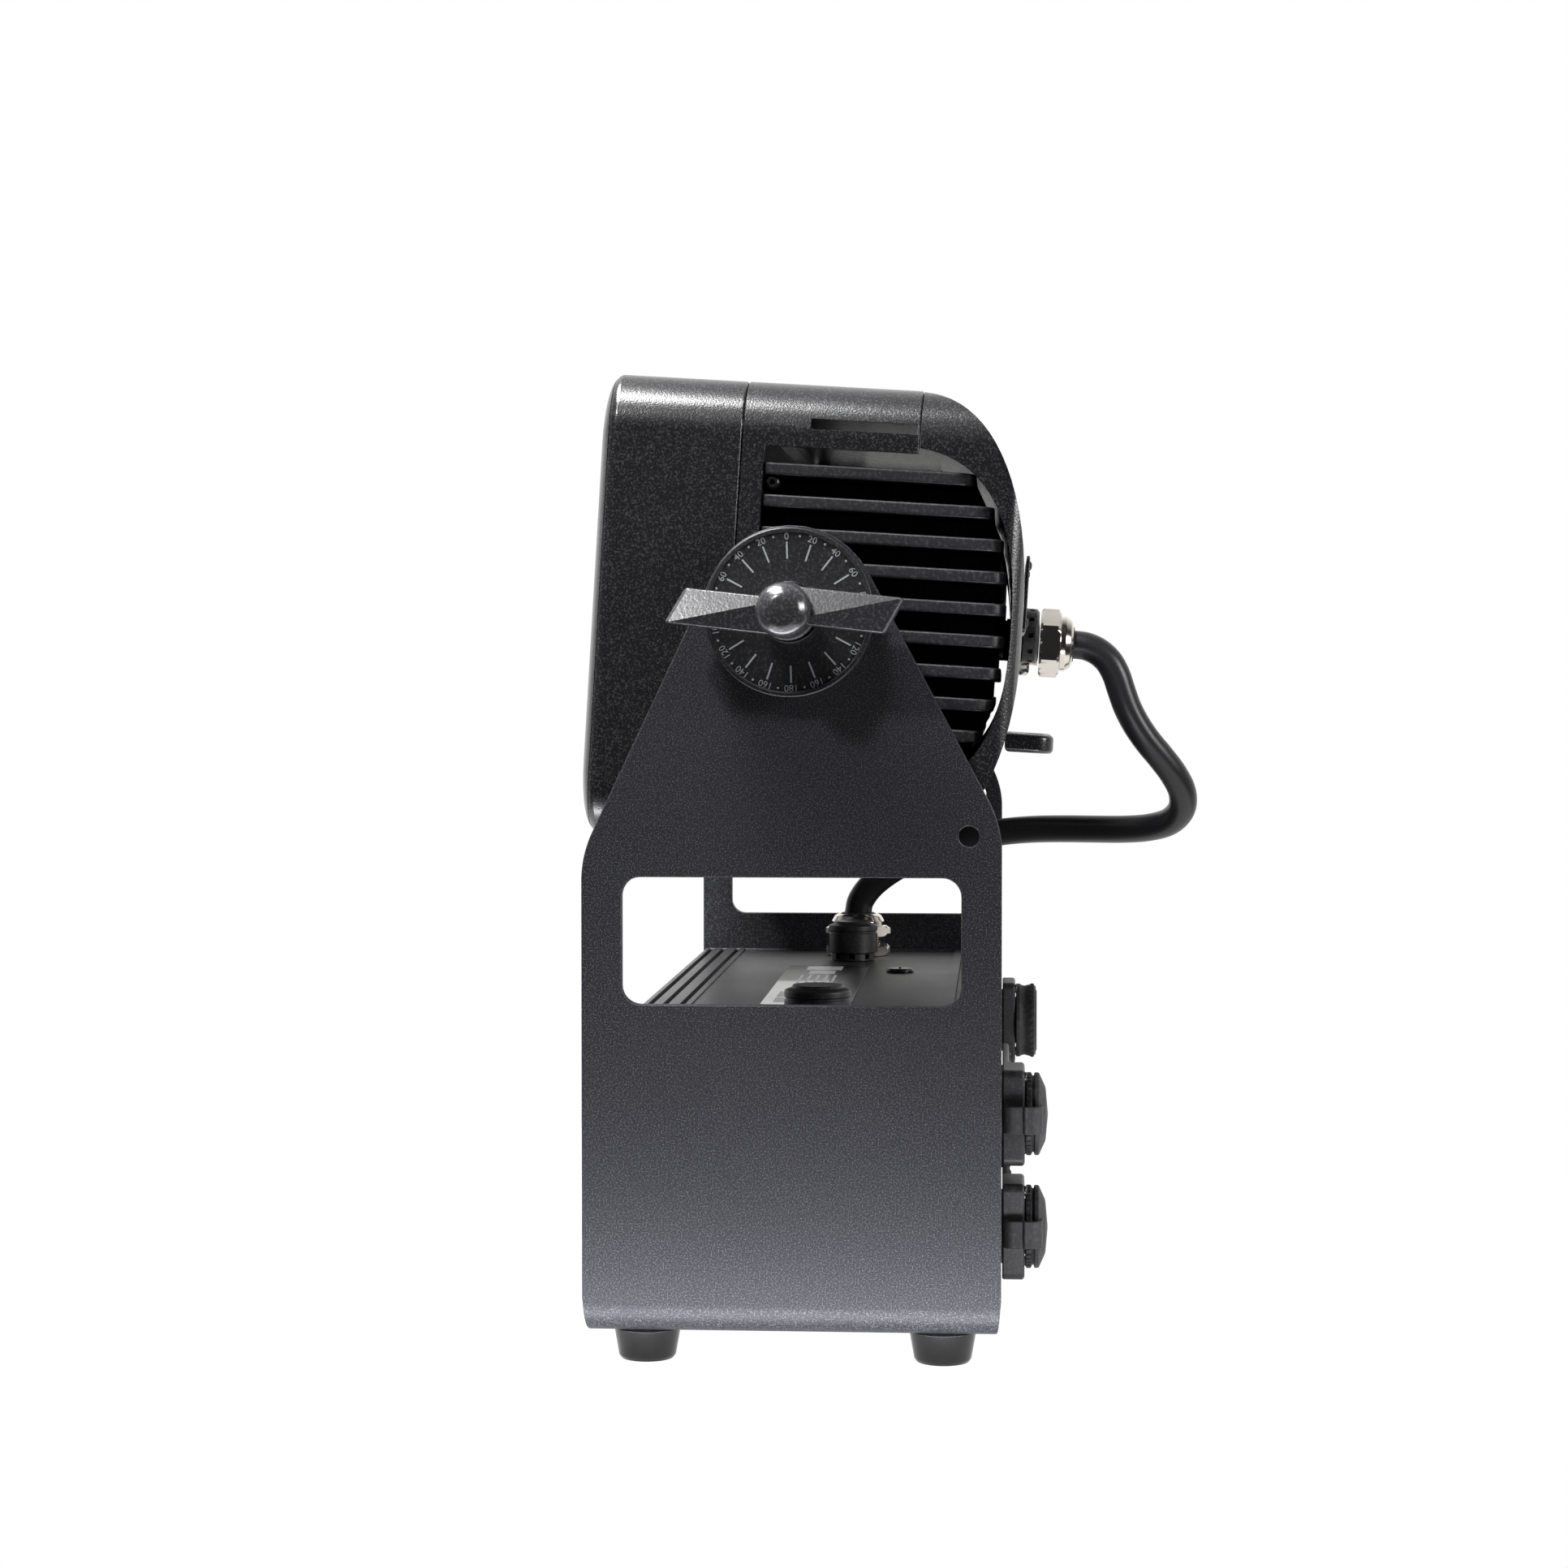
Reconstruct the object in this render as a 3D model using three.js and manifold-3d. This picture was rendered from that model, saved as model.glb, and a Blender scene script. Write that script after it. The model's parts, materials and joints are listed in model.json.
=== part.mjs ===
// Outdoor LED wash light: a louvred die-cast head that tilts in a U yoke, on a driver housing.
// Millimetres, +Z up, the beam leaves towards -Y, the tilt axis runs along X.
// Heights count from the ground. The pieces are drawn with y = 0 at the tilt axis, and the whole is
// then moved so that the origin lies under the middle of its depth.
import * as THREE from "three";
import { mergeVertices } from "three/addons/utils/BufferGeometryUtils.js";
import Module from "manifold-3d";

const wasm = await Module();
wasm.setup();

// ---- driving dimensions ----
const GAP = 0.3; // clearance kept between touching pieces
const FOOT_HEIGHT = 11;
const PLATE = 5; // thickness of the bent yoke plate
const YOKE_HALF_WIDTH = 200; // outer faces of the arms
const YOKE_HALF_DEPTH = 64;
const ARM_END_RADIUS = 26.5;
const PIVOT_Z = 231.3;
const PIVOT_BORE = 8.6;
const MIDDLE_OF_DEPTH = 12.6; // how far the middle of the whole depth lies behind the tilt axis
const REST_TILT = THREE.MathUtils.degToRad(-3.5); // nose up
const ARM_INNER = YOKE_HALF_WIDTH - PLATE;
const FLOOR_PLATE_TOP = FOOT_HEIGHT + PLATE;

const BOX_HALF_LENGTH = 187.5;
const BOX_HALF_DEPTH = 63.5;
const BOX_BOTTOM = FLOOR_PLATE_TOP + GAP;
const BOX_TOP = 97.4;
const BOX_WALL = 3.3;
const BOX_FLOOR = 1.8;
const BOX_TOP_STEP = 0.6; // the middle of the top lies this much lower than its edges
const BOX_DECK = BOX_TOP - BOX_TOP_STEP;

const HEAD_HALF_WIDTH = 188;
const HEAD_HALF_HEIGHT = 71.5;
const HEAD_CORNER = 17;
const HEAD_FRONT = -63.3;
const HEAD_SEAM = -19.1; // between the front housing and the fin housing
const CAP_SEAM = 35.4; // between the fin housing and the rear cap
const HEAD_WALL = 3.2;
const WINDOW_FRONT = -12; // side windows that show the fins
const WINDOW_HALF_HEIGHT = 51;
const FIN_COUNT = 10;
const FIN_PITCH = 9.8;
const FIN_THICKNESS = 3.8;

// ---- materials ----
function finish(color, roughness, metalness = 0) {
  return new THREE.MeshStandardMaterial({ color, roughness, metalness });
}
const powderCoat = finish(0x17191c, 0.55, 0.2);
const castBlack = finish(0x131518, 0.42, 0.3);
const darkRubber = finish(0x101010, 0.75);
const glossRubber = finish(0x0b0b0c, 0.35);
const blackPlastic = finish(0x141414, 0.5);
const nickel = finish(0xb9b4aa, 0.28, 1);
const steel = finish(0xc4c6c8, 0.35, 1);
const greyInk = finish(0x55585c, 0.6);
const circuitBoard = finish(0x14442b, 0.5);
const clearGlass = finish(0xb8c4c8, 0.05);
const clearPlastic = finish(0xd8dcde, 0.1);
const displayGlass = finish(0x1a2a3a, 0.1);

// ---- solids ----
function toSolid(geometry) {
  const bare = new THREE.BufferGeometry();
  bare.setAttribute("position", geometry.getAttribute("position").clone());
  if (geometry.index) bare.setIndex(geometry.index.clone());
  const merged = mergeVertices(bare, 1e-4);
  return new wasm.Manifold(new wasm.Mesh({
    numProp: 3,
    vertProperties: new Float32Array(merged.getAttribute("position").array),
    triVerts: new Uint32Array(merged.index.array),
  }));
}

function toGeometry(solid) {
  const data = solid.getMesh();
  const geometry = new THREE.BufferGeometry();
  geometry.setAttribute("position", new THREE.BufferAttribute(new Float32Array(data.vertProperties), 3));
  geometry.setIndex(new THREE.BufferAttribute(new Uint32Array(data.triVerts), 1));
  const flat = geometry.toNonIndexed();
  flat.computeVertexNormals();
  return flat;
}

const join = (...solids) => solids.reduce((all, next) => all.add(next));
const cut = (solid, ...tools) => tools.reduce((all, next) => all.subtract(next), solid);
const common = (...solids) => solids.reduce((all, next) => all.intersect(next));

// Closed outline through corners [u, v, radius], with an arc at each corner that has a radius.
function roundedOutline(corners) {
  const outline = new THREE.Shape();
  corners.forEach(([u, v, radius = 0], i) => {
    const here = new THREE.Vector2(u, v);
    const before = new THREE.Vector2(...corners.at(i - 1).slice(0, 2)).sub(here).normalize();
    const after = new THREE.Vector2(...corners[(i + 1) % corners.length].slice(0, 2)).sub(here).normalize();
    if (radius === 0) {
      if (i === 0) outline.moveTo(u, v);
      else outline.lineTo(u, v);
      return;
    }
    const half = Math.acos(THREE.MathUtils.clamp(before.dot(after), -1, 1)) / 2;
    const setback = radius / Math.tan(half);
    const centre = before.clone().add(after).normalize().multiplyScalar(radius / Math.sin(half)).add(here);
    const start = here.clone().addScaledVector(before, setback).sub(centre);
    const end = here.clone().addScaledVector(after, setback).sub(centre);
    const clockwise = start.cross(end) < 0;
    if (i === 0) outline.moveTo(centre.x + start.x, centre.y + start.y);
    outline.absarc(centre.x, centre.y, radius, start.angle(), end.angle(), clockwise);
  });
  outline.closePath();
  return outline;
}

function roundedRect(u, v, halfU, halfV, radius) {
  return roundedOutline([
    [u - halfU, v - halfV, radius], [u + halfU, v - halfV, radius],
    [u + halfU, v + halfV, radius], [u - halfU, v + halfV, radius],
  ]);
}

function extrude(outline, depth, axes, offset, curveSegments) {
  const geometry = new THREE.ExtrudeGeometry(outline, { depth, bevelEnabled: false, curveSegments });
  geometry.applyMatrix4(new THREE.Matrix4().makeBasis(...axes));
  geometry.translate(...offset);
  return toSolid(geometry);
}
const X = new THREE.Vector3(1, 0, 0);
const Y = new THREE.Vector3(0, 1, 0);
const Z = new THREE.Vector3(0, 0, 1);
// Outlines are drawn in (y, z), (x, z) and (x, y).
const alongX = (outline, x0, x1, n = 3) => extrude(outline, x1 - x0, [Y, Z, X], [x0, 0, 0], n);
const alongY = (outline, y0, y1, n = 3) =>
  extrude(outline, y1 - y0, [X, Z, Y.clone().negate()], [0, y1, 0], n);
const alongZ = (outline, z0, z1, n = 3) => extrude(outline, z1 - z0, [X, Y, Z], [0, 0, z0], n);

function block(x0, x1, y0, y1, z0, z1) {
  const geometry = new THREE.BoxGeometry(x1 - x0, y1 - y0, z1 - z0);
  geometry.translate((x0 + x1) / 2, (y0 + y1) / 2, (z0 + z1) / 2);
  return toSolid(geometry);
}

// Turned piece: profile of [radius, distance along the axis], through a centre point.
const TURN = {
  x: (g) => g.rotateZ(-Math.PI / 2),
  y: (g) => g,
  z: (g) => g.rotateX(Math.PI / 2),
};
function turned(profile, axis, centre, segments = 16) {
  const points = profile.map(([r, h]) => new THREE.Vector2(r, h));
  const geometry = TURN[axis](new THREE.LatheGeometry(points, segments));
  geometry.translate(...centre);
  return toSolid(geometry);
}
const rod = (radius, h0, h1, axis, centre, segments = 16) =>
  turned([[0, h0], [radius, h0], [radius, h1], [0, h1]], axis, centre, segments);

// ---- scene graph ----
const light = new THREE.Group();
const head = new THREE.Group(); // drawn level about the pivot, then tilted to its rest angle
head.position.set(0, 0, PIVOT_Z);
head.rotation.x = REST_TILT;
light.add(head);
light.position.y = -MIDDLE_OF_DEPTH;

function place(name, solid, material, parent = light) {
  const mesh = new THREE.Mesh(toGeometry(solid), material);
  mesh.name = name;
  parent.add(mesh);
}

// ---- yoke: one plate bent into a U, its arms tapering to a round end at the pivot ----
const FRONT_TAPER = THREE.MathUtils.degToRad(25.2);
const REAR_TAPER = THREE.MathUtils.degToRad(27.8);
const shoulderHeight = (taper) => {
  const run = (YOKE_HALF_DEPTH - ARM_END_RADIUS * Math.cos(taper)) / Math.sin(taper);
  return PIVOT_Z + ARM_END_RADIUS * Math.sin(taper) - run * Math.cos(taper);
};
const frontShoulder = shoulderHeight(FRONT_TAPER);
const rearShoulder = shoulderHeight(REAR_TAPER);
const slopes = [Math.tan(FRONT_TAPER), Math.tan(REAR_TAPER)];
const apexZ = (2 * YOKE_HALF_DEPTH + frontShoulder * slopes[0] + rearShoulder * slopes[1]) /
  (slopes[0] + slopes[1]);
const apexY = YOKE_HALF_DEPTH - (apexZ - rearShoulder) * slopes[1];
const handHole = { halfY: 51.75, bottom: 112, top: 151, radius: 5.8 };
const safetyHole = { y: 54, z: 163.6, radius: 3.25 };

function yokeBracket() {
  const armTop = PIVOT_Z + ARM_END_RADIUS + PLATE;
  const bend = 9;
  const bentPlate = alongY(roundedOutline([
    [-YOKE_HALF_WIDTH, armTop], [-YOKE_HALF_WIDTH, FOOT_HEIGHT, bend],
    [YOKE_HALF_WIDTH, FOOT_HEIGHT, bend], [YOKE_HALF_WIDTH, armTop],
    [ARM_INNER, armTop], [ARM_INNER, FLOOR_PLATE_TOP, bend - PLATE],
    [-ARM_INNER, FLOOR_PLATE_TOP, bend - PLATE], [-ARM_INNER, armTop],
  ]), -YOKE_HALF_DEPTH, YOKE_HALF_DEPTH);
  const sideOutline = roundedOutline([
    [-YOKE_HALF_DEPTH, FOOT_HEIGHT, 5], [YOKE_HALF_DEPTH, FOOT_HEIGHT, 5],
    [YOKE_HALF_DEPTH, rearShoulder, 35], [apexY, apexZ, ARM_END_RADIUS],
    [-YOKE_HALF_DEPTH, frontShoulder, 35],
  ]);
  const reach = YOKE_HALF_WIDTH + PLATE;
  const { halfY, bottom, top, radius } = handHole;
  const hand = roundedRect(0, (bottom + top) / 2, halfY, (top - bottom) / 2, radius);
  return cut(
    common(bentPlate, alongX(sideOutline, -reach, reach, 5)),
    alongX(hand, -reach, reach),
    rod(PIVOT_BORE, -reach, reach, "x", [0, 0, PIVOT_Z], 20),
    rod(safetyHole.radius, -reach, reach, "x", [0, safetyHole.y, safetyHole.z], 12),
  );
}
place("yoke_bracket", yokeBracket(), powderCoat);

// ---- feet: tapered rubber cones with a screw recess ----
const FOOT_TOP_RADIUS = 10.4;
const FOOT_TREAD_RADIUS = 8;
const FOOT_RECESS_RADIUS = 3.8;
const FOOT_X = 180;
const FOOT_Y = 46;
const footProfile = [
  [0, 5], [FOOT_RECESS_RADIUS, 5], [FOOT_RECESS_RADIUS, 0], [FOOT_TREAD_RADIUS, 0], [8.9, 1.2],
  [FOOT_TOP_RADIUS, FOOT_HEIGHT - GAP - 0.8], [FOOT_TOP_RADIUS - 0.6, FOOT_HEIGHT - GAP],
  [0, FOOT_HEIGHT - GAP],
];
for (const [name, x, y] of [
  ["foot_front_left", -FOOT_X, -FOOT_Y], ["foot_front_right", FOOT_X, -FOOT_Y],
  ["foot_rear_left", -FOOT_X, FOOT_Y], ["foot_rear_right", FOOT_X, FOOT_Y],
]) {
  place(name, turned(footProfile, "z", [x, y, 0]), glossRubber);
}

// ---- driver housing: a grooved aluminium extrusion along X, closed by two end plates ----
const boxVents = [
  { name: "box_vent_left", x: -140, y: 3, radius: 10 },
  { name: "box_vent_right", x: 139, y: 4.7, radius: 10.8 },
];
const boxGland = { x: -163, y: 4 };
const boxPlug = { x: -86, y: 24, radius: 5.5 };
const STEM = 6; // threaded stem of vents and plug
const GLAND_STEM = 8;
const sockets = [
  { name: "dmx_in", x: 128, z: 70.2 },
  { name: "dmx_out", x: 128, z: 33.4 },
  { name: "power_in", x: -69, z: 80 },
  { name: "power_out", x: -69, z: 43 },
];
const SOCKET_BARREL = 12;
const SOCKET_BORE = 9.6;
const panel = { x: 40, z: 58, halfX: 40, halfZ: 21 };

function driverHousing() {
  const middle = (BOX_BOTTOM + BOX_TOP) / 2;
  const halfHeight = (BOX_TOP - BOX_BOTTOM) / 2;
  const outside = alongX(roundedRect(0, middle, BOX_HALF_DEPTH, halfHeight, 2.5),
    -BOX_HALF_LENGTH, BOX_HALF_LENGTH, 2);
  const long = BOX_HALF_LENGTH + 1;
  const inside = block(-long, long, -BOX_HALF_DEPTH + BOX_WALL, BOX_HALF_DEPTH - BOX_WALL,
    BOX_BOTTOM + BOX_FLOOR, BOX_DECK - BOX_WALL);
  const deckHalfDepth = 45.2;
  const grooves = [59.4, 54.2, 48.2].flatMap((y) => [-y, y]).map((y) =>
    block(-long, long, y - 1, y + 1, BOX_TOP - 1.6, BOX_TOP + 1));
  const deck = block(-long, long, -deckHalfDepth, deckHalfDepth - 1.2, BOX_DECK, BOX_TOP + 1);
  const stems = [
    ...boxVents.map(({ x, y }) => rod(STEM + GAP, 80, 100, "z", [x, y, 0], 16)),
    rod(GLAND_STEM + GAP, 80, 100, "z", [boxGland.x, boxGland.y, 0], 16),
    rod(boxPlug.radius - 1 + GAP, 80, 100, "z", [boxPlug.x, boxPlug.y, 0], 16),
  ];
  const rearHoles = sockets.map(({ x, z }) =>
    rod(SOCKET_BARREL + GAP, 50, 70, "y", [x, 0, z]));
  const panelHole = alongY(roundedRect(panel.x, panel.z, panel.halfX - 4, panel.halfZ - 4, 2), 50, 70, 2);
  return cut(outside, inside, deck, ...grooves, ...stems, ...rearHoles, panelHole);
}
place("driver_housing", driverHousing(), castBlack);

for (const [name, side] of [["housing_end_left", -1], ["housing_end_right", 1]]) {
  const inner = BOX_HALF_LENGTH + GAP;
  const span = [side * inner, side * (inner + 3)].sort((a, b) => a - b);
  const outline = roundedRect(0, (BOX_BOTTOM + BOX_TOP) / 2, BOX_HALF_DEPTH, (BOX_TOP - BOX_BOTTOM) / 2, 2.5);
  place(name, alongX(outline, ...span, 2), castBlack);
}

// ---- power supply and driver board inside the housing ----
function circuit(x0, x1, parts) {
  const boardZ = BOX_BOTTOM + BOX_WALL + 4;
  const board = block(x0, x1, -54, 40, boardZ, boardZ + 1.6);
  return join(board, ...parts.map(([x, y, halfX, halfY, height]) =>
    block(x - halfX, x + halfX, y - halfY, y + halfY, boardZ + 1, boardZ + height)));
}
place("power_supply", circuit(-180, -5, [
  [-150, -25, 20, 18, 34], [-105, -30, 12, 12, 40], [-70, -32, 16, 15, 30],
  [-35, -30, 10, 10, 36], [-120, 15, 40, 8, 18], [-40, 15, 24, 10, 22],
]), circuitBoard);
place("driver_board", circuit(8, 180, [
  [40, -30, 14, 14, 16], [80, -30, 14, 14, 16], [120, -30, 14, 14, 16],
  [60, 15, 20, 10, 8], [150, 5, 12, 22, 24],
]), circuitBoard);

// ---- rear connectors: flanged sockets with rubber caps ----
const FLANGE_HALF_X = 13;
const FLANGE_HALF_Z = 15.5;
const REAR_FACE = YOKE_HALF_DEPTH + GAP;
const DMX_FACE = 71.5;
const POWER_FACE = 69.2;
const STRAP_X = 17; // the strap of a cap folds this far from the socket's axis
const STRAP_HALF_Z = 4.4;

function socket({ x, z }, face, tethered) {
  const flange = alongY(roundedRect(x, z, FLANGE_HALF_X, FLANGE_HALF_Z, 2.5), REAR_FACE, face, 2);
  const barrel = rod(SOCKET_BARREL, 46, REAR_FACE + 1, "y", [x, 0, z]);
  const bore = rod(SOCKET_BORE, 57, face + 1, "y", [x, 0, z]);
  const anchor = join(
    block(x + FLANGE_HALF_X - 1, x + STRAP_X + 2, REAR_FACE, REAR_FACE + 2, z - STRAP_HALF_Z, z + STRAP_HALF_Z),
    block(x + STRAP_X + 0.2, x + STRAP_X + 2, REAR_FACE, face - 2.4, z - STRAP_HALF_Z, z + STRAP_HALF_Z),
  );
  const body = cut(join(flange, barrel), bore);
  return tethered ? join(body, anchor) : body;
}

function strappedCap({ x, z }) {
  const cap = turned([
    [0, -2.6], [8.6, -2.6], [9, -2.2], [9, GAP], [13.4, GAP], [13.4, 4.6], [12, 5.6],
    [8, 7], [0, 7.6],
  ], "y", [x, DMX_FACE, z]);
  const strap = block(x + 9, x + STRAP_X, DMX_FACE + 0.5, DMX_FACE + 2.3,
    z - STRAP_HALF_Z, z + STRAP_HALF_Z);
  const knuckle = rod(2, -STRAP_HALF_Z, STRAP_HALF_Z, "z", [x + STRAP_X, DMX_FACE + 0.3, z], 12);
  return join(cap, strap, knuckle);
}

function twistCap({ x, z }) {
  return turned([
    [0, -2.6], [8.6, -2.6], [9, -2.2], [9, GAP], [14.2, GAP], [14.2, 1.6], [13, 3.4], [14, 5.8],
    [14, 7.4], [13, 8.2], [0, 8.2],
  ], "y", [x, POWER_FACE, z]);
}

for (const place_ of sockets) {
  const tethered = place_.name.startsWith("dmx");
  const face = tethered ? DMX_FACE : POWER_FACE;
  place(`${place_.name}_socket`, socket(place_, face, tethered), blackPlastic);
  place(`${place_.name}_cap`, tethered ? strappedCap(place_) : twistCap(place_), darkRubber);
}

// ---- control panel: bezel, display window and four push buttons ----
const PANEL_FACE = REAR_FACE + 2.2;
const windowHalf = { x: 22, z: 7.5 };
const displayAt = { x: panel.x, z: panel.z + 8 };
const buttonAt = (i) => ({ x: panel.x + (i - 1.5) * 16, z: panel.z - 11 });
const BUTTON_RADIUS = 4.2;

function controlPanel() {
  const plate = alongY(roundedRect(panel.x, panel.z, panel.halfX, panel.halfZ, 4), REAR_FACE, PANEL_FACE, 2);
  const opening = alongY(roundedRect(displayAt.x, displayAt.z, windowHalf.x, windowHalf.z, 1.5), 60, 70, 2);
  const holes = [0, 1, 2, 3].map(buttonAt).map(({ x, z }) =>
    rod(BUTTON_RADIUS + 0.4, 60, 70, "y", [x, 0, z], 12));
  return cut(plate, opening, ...holes);
}
place("control_panel", controlPanel(), blackPlastic);
place("display", alongY(roundedRect(displayAt.x, displayAt.z, windowHalf.x - GAP, windowHalf.z - GAP, 1.2),
  62.4, PANEL_FACE - 0.6, 2), displayGlass);
place("control_board", block(panel.x - 35, panel.x + 35, 55.5, 57.1, panel.z - 17, panel.z + 17), circuitBoard);
["menu", "down", "up", "enter"].forEach((label, i) => {
  const { x, z } = buttonAt(i);
  place(`button_${label}`, turned([
    [0, 59.5], [5.2, 59.5], [5.2, 61], [BUTTON_RADIUS, 61], [BUTTON_RADIUS, 67], [3.4, 67.6], [0, 67.6],
  ], "y", [x, 0, z], 12), darkRubber);
});

// ---- fittings on the deck: two pressure vents, a blanking plug, a rating label ----
for (const { name, x, y, radius } of boxVents) {
  place(name, turned([
    [0, -9], [STEM, -9], [STEM, GAP], [radius - 1.6, GAP], [radius - 1.6, 3], [radius, 3.4],
    [radius, 13.4], [radius - 1.2, 14.6], [radius - 2.6, 15.2], [radius - 3, 16.2], [0, 16.2],
  ], "z", [x, y, BOX_DECK]), blackPlastic);
}
place("blanking_plug", turned([
  [0, -6], [boxPlug.radius - 1, -6], [boxPlug.radius - 1, GAP], [boxPlug.radius, GAP],
  [boxPlug.radius, 1], [4.6, 1.5], [0, 1.5],
], "z", [boxPlug.x, boxPlug.y, BOX_DECK], 12), glossRubber);
place("rating_label", alongZ(roundedRect(-29, -5, 79, 16, 2), BOX_DECK + GAP, BOX_DECK + GAP + 0.3, 1), greyInk);

// ---- cable glands: hexagon body, compression nut and rubber insert around the cable ----
const CABLE_RADIUS = 5.6;
const hexagon = (acrossFlats, h0, h1, axis, centre) =>
  rod(acrossFlats / Math.sqrt(3), h0, h1, axis, centre, 6);

function glandBody(axis, centre) {
  return cut(join(
    rod(GLAND_STEM, -7, 1, axis, centre),
    hexagon(23, GAP, 4.8, axis, centre),
    rod(9.4, 4.5, 8, axis, centre),
  ), rod(CABLE_RADIUS + GAP, -10, 10, axis, centre, 16));
}

function glandNut(axis, centre, reach) {
  const nut = join(
    common(hexagon(23.4, 8.3, reach - 5, axis, centre),
      turned([[0, 8], [12.2, 8], [13.4, 9.2], [13.4, reach - 6], [11.2, reach - 4.6], [0, reach - 4.6]],
        axis, centre)),
    turned([[0, reach - 6], [11, reach - 6], [10.9, reach - 3.4], [9.8, reach - 1.3], [8, reach], [0, reach]],
      axis, centre),
  );
  return cut(nut, rod(7.6, 0, reach + 2, axis, centre));
}

function glandSeal(axis, centre, reach) {
  return cut(rod(7.3, 8.6, reach - 0.4, axis, centre),
    rod(CABLE_RADIUS + GAP, 0, reach + 2, axis, centre, 16));
}
const BOX_GLAND_REACH = 17.6;
const boxGlandBase = [boxGland.x, boxGland.y, BOX_DECK];
place("box_gland_body", glandBody("z", boxGlandBase), nickel);
place("box_gland_nut", glandNut("z", boxGlandBase, BOX_GLAND_REACH), nickel);
place("box_gland_seal", glandSeal("z", boxGlandBase, BOX_GLAND_REACH), darkRubber);

// ---- head, drawn level about the pivot ----
const section = (inset = 0) => roundedRect(0, 0, HEAD_HALF_WIDTH - inset, HEAD_HALF_HEIGHT - inset,
  HEAD_CORNER - inset);
const onHead = (name, solid, material) => place(name, solid, material, head);

// The front edge is rounded over a shallow ellipse, seen from the side and from above.
function frontRounding() {
  const edge = (half) => {
    const outline = new THREE.Shape();
    const drop = 13;
    const depth = 5.6;
    outline.moveTo(0, -half);
    outline.lineTo(HEAD_FRONT + depth, -half);
    outline.absellipse(HEAD_FRONT + depth, -half + drop, depth, drop, -Math.PI / 2, -Math.PI, true);
    outline.absellipse(HEAD_FRONT + depth, half - drop, depth, drop, Math.PI, Math.PI / 2, true);
    outline.lineTo(0, half);
    outline.closePath();
    return outline;
  };
  const plan = edge(HEAD_HALF_WIDTH);
  const side = alongX(edge(HEAD_HALF_HEIGHT), -HEAD_HALF_WIDTH - 1, HEAD_HALF_WIDTH + 1, 3);
  const geometry = new THREE.ExtrudeGeometry(plan, { depth: 160, bevelEnabled: false, curveSegments: 3 });
  geometry.applyMatrix4(new THREE.Matrix4().makeBasis(Y, X, Z.clone().negate()));
  geometry.translate(0, 0, 80);
  return common(side, toSolid(geometry));
}
const frontEdge = frontRounding();
const BEZEL_BACK = -60.4;
const GLASS = { y0: BEZEL_BACK + GAP, y1: -56.5 };
const GASKET_BACK = -54.5;
const openingHalf = { x: 168, z: 52, radius: 8 };

function frontBezel() {
  const ring = common(alongY(section(), HEAD_FRONT - 1, BEZEL_BACK, 4), frontEdge);
  const { x, z, radius } = openingHalf;
  return cut(ring, alongY(roundedRect(0, 0, x, z, radius), HEAD_FRONT - 2, BEZEL_BACK + 1, 2));
}
onHead("front_bezel", frontBezel(), castBlack);
onHead("front_glass", alongY(roundedRect(0, 0, openingHalf.x + 3.6, openingHalf.z + 3.6, openingHalf.radius),
  GLASS.y0, GLASS.y1, 2), clearGlass);

const CAVITY = { x: 170, z: 54 };
onHead("glass_gasket", cut(
  alongY(roundedRect(0, 0, openingHalf.x + 5, openingHalf.z + 5, openingHalf.radius), GLASS.y1 + GAP,
    GASKET_BACK, 2),
  alongY(roundedRect(0, 0, CAVITY.x - 2, CAVITY.z - 2, openingHalf.radius), GLASS.y1, GASKET_BACK + 1, 2),
), darkRubber);

const headCable = { x: -98, z: 0 };
function frontHousing() {
  const body = common(alongY(section(), BEZEL_BACK + GAP, HEAD_SEAM, 4), frontEdge);
  return cut(body,
    alongY(roundedRect(0, 0, openingHalf.x + 5.4, openingHalf.z + 5.4, openingHalf.radius), -62,
      GASKET_BACK + GAP, 2),
    alongY(roundedRect(0, 0, CAVITY.x, CAVITY.z, 6), -56, -27, 2),
    rod(7, -40, 0, "y", [headCable.x, 0, headCable.z], 12));
}
onHead("front_housing", frontHousing(), castBlack);

// Lens plate: three rows of nine collimating lenses, joined by a thin sheet.
const LENS_COLUMNS = 9;
const LENS_ROWS = 3;
function lensPlate() {
  const pitch = { x: 36, z: 34 };
  const sheet = alongY(roundedRect(0, 0, CAVITY.x - 3, CAVITY.z - 2, 6), -50, -47.5, 2);
  const lenses = [];
  for (let column = 0; column < LENS_COLUMNS; column++) {
    for (let row = 0; row < LENS_ROWS; row++) {
      const x = (column - (LENS_COLUMNS - 1) / 2) * pitch.x;
      const z = (row - (LENS_ROWS - 1) / 2) * pitch.z;
      lenses.push(turned([[0, -48.5], [15, -48.5], [6, -31], [0, -31]], "y", [x, 0, z], 8));
    }
  }
  return join(sheet, ...lenses);
}
onHead("lens_plate", lensPlate(), clearPlastic);
onHead("led_board", cut(
  block(-CAVITY.x + 3, CAVITY.x - 3, -29.2, -27.4, -CAVITY.z + 2, CAVITY.z - 2),
  rod(7, -40, 0, "y", [headCable.x, 0, headCable.z], 12),
), circuitBoard);

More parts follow.
